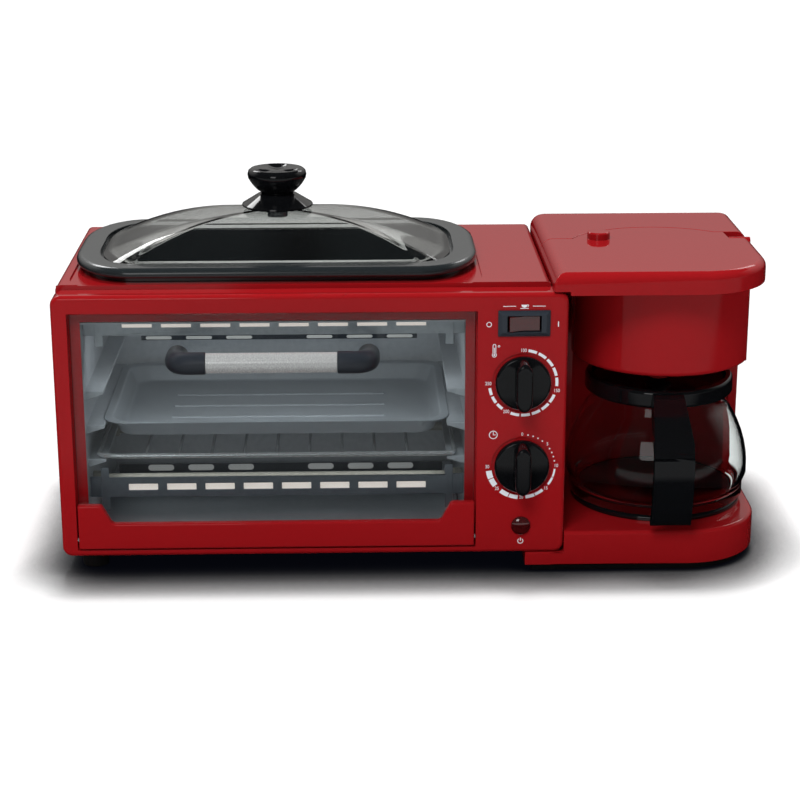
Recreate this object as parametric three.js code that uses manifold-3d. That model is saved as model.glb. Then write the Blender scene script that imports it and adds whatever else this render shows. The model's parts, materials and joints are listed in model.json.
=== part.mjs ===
// Three-in-one breakfast maker: a small toaster oven with a griddle pan on its roof
// and a drip coffee maker at its right side. Millimetres, +Z up, the front faces -Y.
// While the pieces are made, X is zero at the middle of the front frame, Y is zero on
// its front face and Z is zero at its lower edge. The last lines move the whole
// assembly so that its origin is the middle of its footprint.
import * as THREE from 'three'
import { mergeVertices } from 'three/addons/utils/BufferGeometryUtils.js'
import Module from 'manifold-3d'

const wasm = await Module()
wasm.setup()

// Gaps and sheet
const FIT = 0.3 // between pieces that rest on each other
const RUN = 1 // beside pieces that move
const OVERRUN = 5 // how far a cutter passes its piece
const SHEET = 1.2 // steel sheet
const MOULDED = 2.4 // wall of the moulded covers

// Front frame and control panel
const FRAME_W = 340
const FRAME_H = 182.2
const FRAME_DEPTH = 17.2
const FRAME_FACE = 3 // thickness of the front face
const FRAME_CORNER = 6.6
const FRAME_BEVEL = 2.6
const PANEL_W = 59.9 // frame to the right of the door
const DOOR_MARGIN_LEFT = 10.5
const DOOR_MARGIN_TOP = 12
const DOOR_MARGIN_BOTTOM = 4.6
const STOP_LIP = 7.6 // how far the lip behind the door reaches inwards
const STOP_PLANE = 8.3
const STOP_FOOT_Z = 17 // the lip leaves the foot of the door free to turn

// Oven casing
const CASE_INSET_LEFT = 1.8 // casing behind the edge of the front frame
const CASE_W = 328
const CASE_TOP = 185.6
const CASE_BACK = 193.5
const CASE_CORNER = 4
const RECESS_DEPTH = 1.4 // sunk panel under the griddle pan
const RECESS_MARGIN = 0.8
const RECESS_CORNER = 26
const REAR_INSET = 2.4
const VENT_W = 26
const VENT_H = 3
const VENT_PITCH = 7
const VENT_COUNT = 6
const VENT_ROW_X = 78
const FOOT_R = 9
const FOOT_H = 15
const FOOT_INSET_X = 17
const FOOT_INSET_Y = 5
const GLAND_R = 7
const GLAND_BORE = 4.8
const GLAND_LENGTH = 9
const GLAND_FLANGE = 2
const GLAND_X = 118
const GLAND_Z = 24

// Cooking space
const CAVITY_W = 256
const CAVITY_FRONT = 10.8
const CAVITY_BACK = 176
const CAVITY_TOP = 160
const WARM_HOLE_INSET = 18.2 // ceiling left on each side of the hole under the griddle pan
const SHELF_PITCH = 24
const SHELF_FIRST = 61.9
const SHELF_REACH = 12
const SHELF_H = 4
const SHELF_FRONT = 24
const SLOT_L = 19.5
const SLOT_H = 2.4
const SLOT_PITCH = 29
const SLOT_ROW_LOW = 10
const SLOT_ROW_HIGH = 103
const CRUMB_CLEAR = 0.3
const CRUMB_LIP = 3
const HEATER_R = 3.2
const HEATER_FRONT = 44
const HEATER_BACK = 152
const HEATER_LOW = 41
const HEATER_HIGH = 150
const GUARD_CLEAR = 12 // at each end of a heater guard
const GUARD_PLANE = 25
const GUARD_TAB = 4.2
const GUARD_SLOTS = 8
const GUARD_END = 11.2 // plain end beside the slots
const GUARD_SLOT_SHARE = 0.763 // length of a slot in its pitch
const GUARD_SLOT_H = 4.6
const UPPER_GUARD_LOW = 148.4
const UPPER_GUARD_TAB_LOW = 141
const LOWER_GUARD_LOW = 33.8
const LOWER_GUARD_TOP = 48
const LOWER_POST_TOP = 55
const LOWER_POST_FOOT = 23.8
const HEATER_CLIP = 2

// Door
const GLASS = 4
const GLASS_FRONT = 3.6
const RAIL_FRONT = -1.4
const RAIL_H = 22
const RAIL_END_H = 33.4
const RAIL_END_W = 16
const RAIL_SLOPE = 7
const HINGE_Y = 1
const HINGE_Z = 12
const HINGE_PIN_R = 1.3
const HINGE_PIN_DEPTH = 10
const HANDLE_Z = 145
const HANDLE_REACH = 30
const HANDLE_R = 6.6
const HANDLE_TUBE = 85
const ELBOW_R = 9.4
const ELBOW_RUN = 20
const ELBOW_RISE = -3

// Rack and baking tray
const RACK_CLEAR = 5 // between the rack and each side wall
const RACK_FRONT = 22
const RACK_BACK = 168
const RACK_WIRE = 1.7
const BAR_WIRE = 1.1
const BAR_COUNT = 9
const BAR_END = 30.4 // from the side of the rack to its first bar
const TRAY_CLEAR = 10 // between the tray's rim and each side wall
const TRAY_FRONT = 25
const TRAY_BACK = 170
const TRAY_DEPTH = 11.5
const TRAY_TAPER = 10
const TRAY_RIM = 5
const TRAY_CORNER = 14
const RIDGE_L = 150
const RIDGE_H = 0.8
const RIDGE_W = 2.4
const RIDGE_PITCH = 26

// Griddle pan and its lid
const PAN_SHIFT_X = 1
const PAN_CENTRE_Y = 103
const PAN_W = 275.5
const PAN_D = 160
const PAN_CORNER_X = 41
const PAN_CORNER_Y = 62 // the corners are longer from front to back
const PAN_RIM_TOP = 194.6
const PAN_RIM_DROP = 6
const PAN_RIM_W = 16.4
const PAN_RIM_T = 2.4
const PAN_WALL = 2.4
const PAN_FLOOR_Z = 166
const PAN_TAPER = 9
const PAN_LEDGE = 4.2 // ledge that the lid stands on
const PAN_LEDGE_DROP = 5
const PAN_SEAT = 6 // band that stands on the casing around the hole
const LID_CLEAR = 2.1
const LID_TOP = 218.7
const LID_T = 3.4
const LID_HOLE_R = 3.2
const LID_POWER = 2.2 // roundness of the dome
const LID_RINGS = 7
const KNOB_HEAD_R = 20.4
const KNOB_NECK_R = 13.3
const KNOB_STEM_R = 11
const KNOB_FOOT_R = 13.6
const KNOB_TOP = 246.6
const KNOB_DISH = 1.6
const SKIRT_R = 24.6
const SKIRT_RISE = 7
const SKIRT_T = 1.4
const SCREW_R = 2.6
const SCREW_HEAD_R = 7
const SCREW_HEAD_H = 3
const SCREW_LENGTH = 12

// Controls
const PANEL_X = 140.6
const DIAL_R = 18.6
const DIAL_BASE_H = 4
const DIAL_GRIP_W = 11.6
const DIAL_GRIP_H = 15
const DIAL_SHAFT_R = 3
const DIAL_GROOVE = 1.6
const DIAL_GROOVE_DEPTH = 0.9
const TEMPERATURE_Z = 120.8
const TIMER_Z = 62.4
const CONTROL_BODY_W = 34
const CONTROL_BODY_D = 24
const CONTROL_BUSH_R = 5
const SWITCH_W = 34.5
const SWITCH_H = 17.7
const SWITCH_Z = 161.9
const SWITCH_PROUD = 3
const SWITCH_WINDOW_W = 22.6
const SWITCH_WINDOW_H = 11.2
const SWITCH_BODY_D = 16
const ROCKER_W = 20.4
const ROCKER_TILT = 0.17
const ROCKER_PIVOT_Y = -1
const ROCKER_CREST = 1.2
const ROCKER_DEPTH = 6
const LAMP_Z = 19.7
const LAMP_R = 6.6
const LAMP_DOME = 2.6
const LAMP_BODY_R = 5
const LAMP_BODY_D = 11

// Coffee maker body
const COFFEE_RIGHT = 308
const COFFEE_X = 243 // middle of drum, carafe and hot plate
const COFFEE_Y = 77
const BASE_TOP = 14.5
const BASE_BOTTOM = -9.5
const BASE_CORNER = 52
const BASE_BACK_CORNER = 12
const BASE_BEVEL = 2
const TONGUE_LEFT = 144
const TONGUE_BACK = 60
const PLINTH_INSET = 4.5
const PLATE_R = 56
const PLATE_T = 4
const RING_W = 4
const RING_H = 3.6
const COLUMN_FRONT = 112
const COLUMN_CORNER = 8
const COLUMN_INSET = 2
const TANK_GAP = 2
const TANK_FRONT = 126.6
const NICHE_R = 67 // hollow in the front of the column, round the carafe and the drum
const SPOUT_REACH = 12
const SPOUT_Z = 173
const SPOUT_R = 4
const RISER_X = 171
const RISER_Y = 124
const FLOW_R = 5
const FLOW_BEND_R = 34
const FLOW_GAP = 1

// Brew head
const CAP_BOTTOM = 180.2
const CAP_TOP = 195.2
const CAP_FRONT = -0.6
const CAP_CORNER = 51
const CAP_BEVEL = 4
const CAP_ROOF = 3.6 // thickness over the hollows in both halves
const CAP_BACK = 190.5
const CAP_BACK_CORNER = 9
const SEAM_LEFT_Y = 101.5
const SEAM_RIGHT_Y = 120
const SEAM_GAP = 0.8
const BULGE_X = 241 // round part of the seam
const BULGE_Y = 70.7
const BULGE_R = 66
const DRUM_R = 62
const DRUM_BOTTOM = 119
const DRUM_WALL = 2.4
const DRUM_FLOOR = 2.6
const DRUM_OUTLET_R = 26
const PIN_X = 299.5 // the brew head turns on this pin
const PIN_Y = 104
const PIN_R = 2.6
const PIN_EAR_H = 11.5
const BARREL_R = 3.2 // cross bar on top of the pin
const BARREL_LEFT = 6.5
const BARREL_RIGHT = 8.6
const NOTCH_DEPTH = 7
const NOTCH_LEFT = 8
const NOTCH_FRONT = 4
const STUB_X = 201
const STUB_Y = 103
const STUB_R = 8
const STUB_H = 5
const BASKET_TOP_R = 50
const BASKET_FOOT_R = 30
const BASKET_TOP = 165
const BASKET_WALL = 1.8
const BASKET_OUTLET_R = 6
const VALVE_R = 4.6
const VALVE_HEAD_R = 9
const VALVE_HEAD_H = 2.6
const VALVE_TRAVEL = 3
const VALVE_BELOW = 12.5
const SPRING_WIRE = 0.6
const SPRING_TURNS = 4
const TANK_LID_PIN_R = 1.6
const TANK_LID_PIN_W = 60

// Carafe
const BAND_R = 61.5
const BAND_H = 9.5
const BELLY_R = 64
const BELLY_RISE = 20
const NECK_R = 46.5
const NECK_Z = 88
const COLLAR_Z = 93.6
const COLLAR_R = 51.7
const COLLAR_H = 12
const CARAFE_WALL = 2.2
const LID_DISH = 3
const CARAFE_LID_T = 2.4
const CARAFE_LID_HOLE_R = 7
const STRAP_W = 27
const STRAP_TOP_W = 19.5
const STRAP_T = 6
const STRAP_REACH = 34 // strap's inner face in front of the belly
const STRAP_FOOT_Z = 25
const STRAP_SHIFT_X = -1.5

// Places that follow from the sizes above
const doorLeft = -FRAME_W / 2 + DOOR_MARGIN_LEFT
const doorRight = FRAME_W / 2 - PANEL_W
const doorTop = FRAME_H - DOOR_MARGIN_TOP
const ovenX = (doorLeft + doorRight) / 2
const caseLeft = -FRAME_W / 2 + CASE_INSET_LEFT
const caseRight = caseLeft + CASE_W
const caseFront = FRAME_DEPTH + FIT
const cavityLeft = ovenX - CAVITY_W / 2
const cavityRight = ovenX + CAVITY_W / 2
const guardHalf = CAVITY_W / 2 - GUARD_CLEAR
const floorZ = -FOOT_H
const coffeeLeft = caseRight + FIT
const plateTop = BASE_TOP + FIT + PLATE_T
const carafeFloor = plateTop + FIT

const finishes = {
  red: { color: 0x98181b, roughness: 0.18, metalness: 0 },
  redSteel: { color: 0x98181b, roughness: 0.16, metalness: 0.1 },
  steel: { color: 0x9a9c9d, roughness: 0.4, metalness: 0.9 },
  zinc: { color: 0x7f8283, roughness: 0.5, metalness: 0.9 },
  wire: { color: 0xb8babb, roughness: 0.2, metalness: 1 },
  darkSteel: { color: 0x55595c, roughness: 0.4, metalness: 0.6 },
  griddle: { color: 0x2c3234, roughness: 0.22, metalness: 0.3 },
  blackGloss: { color: 0x0c0d0f, roughness: 0.1, metalness: 0 },
  blackMatte: { color: 0x1b1c1e, roughness: 0.6, metalness: 0 },
  handleGrey: { color: 0x2b3036, roughness: 0.45, metalness: 0 },
  rubber: { color: 0x151515, roughness: 0.9, metalness: 0 },
  smokedGlass: { color: 0x3a4244, roughness: 0.05, metalness: 0, transparent: true, opacity: 0.6 },
  clearGlass: { color: 0xe6edec, roughness: 0.03, metalness: 0, transparent: true, opacity: 0.25 },
  lampRed: { color: 0x5a1012, roughness: 0.1, metalness: 0 },
  white: { color: 0xd8d8d2, roughness: 0.5, metalness: 0 }
}

const group = new THREE.Group()

// Solids and booleans
function solid(geometry) {
  const bare = geometry.clone()
  for (const name of Object.keys(bare.attributes)) {
    if (name !== 'position') bare.deleteAttribute(name)
  }
  const merged = mergeVertices(bare, 1e-4)
  const index = merged.index.array
  const position = merged.attributes.position
  const kept = []
  let volume = 0
  const a = new THREE.Vector3()
  const b = new THREE.Vector3()
  const c = new THREE.Vector3()
  for (let i = 0; i < index.length; i += 3) {
    const [p, q, r] = [index[i], index[i + 1], index[i + 2]]
    if (p === q || q === r || r === p) continue
    kept.push(p, q, r)
    a.fromBufferAttribute(position, p)
    b.fromBufferAttribute(position, q)
    c.fromBufferAttribute(position, r)
    volume += a.dot(b.cross(c))
  }
  if (volume < 0) {
    for (let i = 0; i < kept.length; i += 3) [kept[i], kept[i + 1]] = [kept[i + 1], kept[i]]
  }
  return new wasm.Manifold(new wasm.Mesh({
    numProp: 3,
    vertProperties: new Float32Array(position.array),
    triVerts: new Uint32Array(kept)
  }))
}

function toGeometry(body) {
  const mesh = body.getMesh()
  const geometry = new THREE.BufferGeometry()
  geometry.setAttribute('position', new THREE.BufferAttribute(new Float32Array(mesh.vertProperties), 3))
  geometry.setIndex(new THREE.BufferAttribute(new Uint32Array(mesh.triVerts), 1))
  geometry.computeVertexNormals()
  return geometry
}

const join = (first, ...rest) => rest.reduce((sum, next) => sum.add(next), first)
const cut = (first, ...rest) => rest.reduce((left, next) => left.subtract(next), first)

function piece(name, body, finish) {
  const mesh = new THREE.Mesh(toGeometry(body), new THREE.MeshStandardMaterial(finishes[finish]))
  mesh.name = name
  group.add(mesh)
  return mesh
}

// Basic forms, all given in the assembly's own X, Y and Z
function box(x0, x1, y0, y1, z0, z1) {
  const geometry = new THREE.BoxGeometry(x1 - x0, y1 - y0, z1 - z0)
  return solid(geometry.translate((x0 + x1) / 2, (y0 + y1) / 2, (z0 + z1) / 2))
}

const bases = {
  X: new THREE.Matrix4().makeBasis(
    new THREE.Vector3(0, 1, 0), new THREE.Vector3(0, 0, 1), new THREE.Vector3(1, 0, 0)),
  Y: new THREE.Matrix4().makeBasis(
    new THREE.Vector3(1, 0, 0), new THREE.Vector3(0, 0, 1), new THREE.Vector3(0, -1, 0)),
  Z: new THREE.Matrix4()
}

// A shape drawn in (Y,Z), (X,Z) or (X,Y) and drawn out along the axis named
function prism(axis, shape, from, to, { bevelFrom = 0, bevelTo = 0, segments = 5 } = {}) {
  const bevel = Math.max(bevelFrom, bevelTo)
  const flip = axis === 'Y'
  const lowBevel = flip ? bevelTo : bevelFrom
  const highBevel = flip ? bevelFrom : bevelTo
  const length = to - from
  const geometry = new THREE.ExtrudeGeometry(shape, {
    depth: length - lowBevel - highBevel,
    bevelEnabled: bevel > 0,
    bevelThickness: bevel,
    bevelSize: bevel,
    bevelOffset: -bevel,
    bevelSegments: 2,
    curveSegments: segments
  })
  if (bevel > 0) geometry.translate(0, 0, lowBevel)
  geometry.applyMatrix4(bases[axis])
  const start = flip ? to : from
  const move = { X: [start, 0, 0], Y: [0, start, 0], Z: [0, 0, start] }[axis]
  const body = solid(geometry.translate(...move))
  return body
}

// A plain slab with one bevelled face, cut back to its square face at the other end
function bevelledSlab(axis, shape, from, to, bevel, side, segments = 5) {
  const both = prism(axis, shape, side === 'from' ? from : from - bevel * 2,
    side === 'from' ? to + bevel * 2 : to, { bevelFrom: bevel, bevelTo: bevel, segments })
  const reach = FRAME_W * 2
  const low = side === 'from' ? from - OVERRUN : from
  const high = side === 'from' ? to : to + OVERRUN
  const limits = {
    X: [low, high, -reach, reach, -reach, reach],
    Y: [-reach, reach, low, high, -reach, reach],
    Z: [-reach, reach, -reach, reach, low, high]
  }[axis]
  return both.intersect(box(...limits))
}

function roundRect(x0, x1, y0, y1, radius) {
  const radii = Array.isArray(radius) ? radius : [radius, radius, radius, radius]
  const [lowLeft, lowRight, highRight, highLeft] = radii
  const shape = new THREE.Shape()
  shape.moveTo(x0 + lowLeft, y0)
  shape.lineTo(x1 - lowRight, y0)
  if (lowRight) shape.absarc(x1 - lowRight, y0 + lowRight, lowRight, -Math.PI / 2, 0)
  shape.lineTo(x1, y1 - highRight)
  if (highRight) shape.absarc(x1 - highRight, y1 - highRight, highRight, 0, Math.PI / 2)
  shape.lineTo(x0 + highLeft, y1)
  if (highLeft) shape.absarc(x0 + highLeft, y1 - highLeft, highLeft, Math.PI / 2, Math.PI)
  shape.lineTo(x0, y0 + lowLeft)
  if (lowLeft) shape.absarc(x0 + lowLeft, y0 + lowLeft, lowLeft, Math.PI, Math.PI * 1.5)
  return shape
}

function polygon(points) {
  return new THREE.Shape(points.map(([x, y]) => new THREE.Vector2(x, y)))
}

function cylinder(axis, radius, from, to, [u, v], sides = 24) {
  const geometry = new THREE.CylinderGeometry(radius, radius, to - from, sides)
  const middle = (from + to) / 2
  if (axis === 'Z') geometry.rotateX(Math.PI / 2).translate(u, v, middle)
  if (axis === 'Y') geometry.translate(u, middle, v)
  if (axis === 'X') geometry.rotateZ(Math.PI / 2).translate(middle, u, v)
  return solid(geometry)
}

// A profile of [radius, height] turned about a vertical or a fore-and-aft axis
function turned(axis, profile, [u, v], sides = 24) {
  const geometry = new THREE.LatheGeometry(profile.map(([r, h]) => new THREE.Vector2(r, h)), sides)
  if (axis === 'Z') geometry.rotateX(Math.PI / 2).translate(u, v, 0)
  if (axis === 'Y') geometry.translate(u, 0, v)
  return solid(geometry)
}

// Rings with equally many points, joined one to the next and closed at both ends
function loft(rings) {
  const count = rings[0].length
  const positions = rings.flat(2)
  const index = []
  for (let k = 0; k < rings.length - 1; k++) {
    for (let i = 0; i < count; i++) {
      const j = (i + 1) % count
      const [a, b, c, d] = [k * count + i, k * count + j, (k + 1) * count + j, (k + 1) * count + i]
      index.push(a, b, c, a, c, d)
    }
  }
  const last = (rings.length - 1) * count
  for (let i = 1; i < count - 1; i++) {
    index.push(0, i + 1, i)
    index.push(last, last + i, last + i + 1)
  }
  const geometry = new THREE.BufferGeometry()
  geometry.setAttribute('position', new THREE.BufferAttribute(new Float32Array(positions), 3))
  geometry.setIndex(index)
  return solid(geometry)
}

function rectRing(centreX, centreY, halfW, halfD, radius, z, steps = 4) {
  const [radiusX, radiusY] = Array.isArray(radius) ? radius : [radius, radius]
  const ring = []
  const corners = [[1, 1, 0], [-1, 1, 0.5], [-1, -1, 1], [1, -1, 1.5]]
  for (const [sx, sy, turn] of corners) {
    for (let i = 0; i <= steps; i++) {
      const angle = (turn + 0.5 * i / steps) * Math.PI
      ring.push([
        centreX + sx * (halfW - radiusX) + radiusX * Math.cos(angle),
        centreY + sy * (halfD - radiusY) + radiusY * Math.sin(angle),
        z
      ])
    }
  }
  return ring
}

function tube(points, radius, sides, steps) {
  const curve = new THREE.CatmullRomCurve3(points.map((p) => new THREE.Vector3(...p)), false, 'centripetal')
  const section = new THREE.Shape()
  section.absarc(0, 0, radius, 0, Math.PI * 2)
  const geometry = new THREE.ExtrudeGeometry(section, { steps, extrudePath: curve, curveSegments: sides })
  return solid(geometry)
}

// The griddle pan's outline, drawn in from the edge of its rim
function panRing(inset, z) {
  return rectRing(ovenX + PAN_SHIFT_X, PAN_CENTRE_Y, PAN_W / 2 - inset, PAN_D / 2 - inset,
    [PAN_CORNER_X - inset, PAN_CORNER_Y - inset], z)
}

// Oven casing
function buildCasing() {
  const panLeft = ovenX + PAN_SHIFT_X - PAN_W / 2
  const panRight = ovenX + PAN_SHIFT_X + PAN_W / 2
  const holeInset = PAN_RIM_W - PAN_WALL - RUN
  const outside = prism('Y', roundRect(caseLeft, caseRight, 0, CASE_TOP,
    [0, 0, CASE_CORNER, CASE_CORNER]), caseFront, CASE_BACK)
  const inside = prism('Y', roundRect(caseLeft + SHEET, caseRight - SHEET, -OVERRUN, CASE_TOP - SHEET,
    [0, 0, CASE_CORNER - SHEET, CASE_CORNER - SHEET]), caseFront - OVERRUN, CASE_BACK + OVERRUN)
  const recessShape = (grow) => roundRect(
    panLeft + RECESS_MARGIN - grow, panRight + RECESS_MARGIN + grow,
    caseFront - RECESS_CORNER * 0.3 - grow, CASE_BACK - REAR_INSET * 2 + grow, RECESS_CORNER + grow)
  const sunk = prism('Z', recessShape(SHEET), CASE_TOP - RECESS_DEPTH - SHEET, CASE_TOP - SHEET / 2)
    .intersect(box(caseLeft + SHEET / 2, caseRight - SHEET / 2, caseFront, CASE_BACK, 0, CASE_TOP))
  const recess = prism('Z', recessShape(0), CASE_TOP - RECESS_DEPTH, CASE_TOP + OVERRUN)
  const hole = prism('Z', polygon(panRing(holeInset, 0)), CASE_TOP - OVERRUN * 2, CASE_TOP + OVERRUN)
  piece('oven_casing', cut(join(cut(outside, inside), sunk), recess, hole), 'redSteel')

  const rearLeft = caseLeft + SHEET + FIT
  const rearRight = caseRight - SHEET - FIT
  const rearY = CASE_BACK - REAR_INSET
  let rear = box(rearLeft, rearRight, rearY - SHEET, rearY, 0, CASE_TOP - SHEET - RECESS_DEPTH - FIT)
  for (const side of [-1, 1]) {
    for (let i = 0; i < VENT_COUNT; i++) {
      const x = ovenX + side * VENT_ROW_X
      const z = CASE_TOP / 2 + (i - (VENT_COUNT - 1) / 2) * VENT_PITCH
      rear = cut(rear, box(x - VENT_W / 2, x + VENT_W / 2, rearY - OVERRUN, rearY + OVERRUN,
        z - VENT_H / 2, z + VENT_H / 2))
    }
  }
  rear = cut(rear, cylinder('Y', GLAND_R + FIT, rearY - OVERRUN, rearY + OVERRUN, [GLAND_X, GLAND_Z]))
  piece('rear_cover', rear, 'redSteel')
  piece('cord_gland', turned('Y', [
    [GLAND_BORE, rearY - SHEET - GLAND_FLANGE], [GLAND_R, rearY - SHEET - GLAND_FLANGE],
    [GLAND_R, rearY + FIT], [GLAND_R + GLAND_FLANGE, rearY + FIT],
    [GLAND_R + GLAND_FLANGE, rearY + FIT + GLAND_FLANGE], [GLAND_R, rearY + FIT + GLAND_FLANGE],
    [GLAND_R, rearY + GLAND_LENGTH], [GLAND_BORE, rearY + GLAND_LENGTH],
    [GLAND_BORE, rearY - SHEET - GLAND_FLANGE]
  ], [GLAND_X, GLAND_Z], 20), 'rubber')

  piece('base_pan', box(rearLeft, rearRight, caseFront, rearY - SHEET - FIT, 0, SHEET), 'zinc')
  const footX = caseLeft + FOOT_INSET_X
  const footPlaces = {
    front: caseFront + FOOT_INSET_Y + FOOT_R / 2,
    rear: rearY - SHEET - FOOT_R - FOOT_INSET_Y
  }
  for (const [place, y] of Object.entries(footPlaces)) {
    piece(`foot_left_${place}`, cylinder('Z', FOOT_R, floorZ, -FIT, [footX, y], 20), 'rubber')
  }
}

// Front frame with the door opening, the lip that the door closes on and the panel holes
function buildFrontFrame() {
  const outline = roundRect(-FRAME_W / 2, FRAME_W / 2, 0, FRAME_H, FRAME_CORNER)
  const block = bevelledSlab('Y', outline, 0, FRAME_DEPTH, FRAME_BEVEL, 'from')
  const hollow = box(-FRAME_W / 2 + FRAME_FACE, FRAME_W / 2 - FRAME_FACE, FRAME_FACE,
    FRAME_DEPTH + OVERRUN, FRAME_FACE, FRAME_H - FRAME_FACE)
  const opening = box(doorLeft, doorRight, -OVERRUN, FRAME_FACE + OVERRUN, DOOR_MARGIN_BOTTOM, doorTop)
  const lipBlock = box(doorLeft - SHEET * 2, doorRight + SHEET * 2, FRAME_FACE - SHEET, STOP_PLANE + SHEET,
    DOOR_MARGIN_BOTTOM - SHEET, doorTop + SHEET * 2)
  const lipInside = box(doorLeft, doorRight, -OVERRUN, STOP_PLANE, DOOR_MARGIN_BOTTOM, doorTop)
  const lipWindow = box(doorLeft + STOP_LIP, doorRight - STOP_LIP, 0, STOP_PLANE + OVERRUN,
    STOP_FOOT_Z, doorTop - STOP_LIP)
  const lipFoot = box(doorLeft, doorRight, 0, STOP_PLANE + OVERRUN,
    DOOR_MARGIN_BOTTOM, STOP_FOOT_Z + SHEET)
  const lip = cut(lipBlock, lipInside, lipWindow, lipFoot)
  let frame = join(cut(block, hollow, opening), lip)
  for (const z of [TEMPERATURE_Z, TIMER_Z]) {
    frame = cut(frame, cylinder('Y', CONTROL_BUSH_R + FIT, -OVERRUN, FRAME_DEPTH, [PANEL_X, z]))
    const ringOuter = DIAL_R + FIT + DIAL_GROOVE
    frame = cut(frame, cut(
      cylinder('Y', ringOuter, -OVERRUN, DIAL_GROOVE_DEPTH, [PANEL_X, z], 32),
      cylinder('Y', DIAL_R + FIT, -OVERRUN, OVERRUN, [PANEL_X, z], 32)))
  }
  const slack = SWITCH_WINDOW_W / 2 + FIT
  frame = cut(frame, box(PANEL_X - slack - FRAME_FACE, PANEL_X + slack + FRAME_FACE, -OVERRUN, FRAME_DEPTH,
    SWITCH_Z - SWITCH_WINDOW_H / 2 - RUN, SWITCH_Z + SWITCH_WINDOW_H / 2 + RUN))
  frame = cut(frame, cylinder('Y', LAMP_BODY_R + FIT, -OVERRUN, FRAME_DEPTH, [PANEL_X, LAMP_Z]))
  piece('front_frame', frame, 'red')
}

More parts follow.
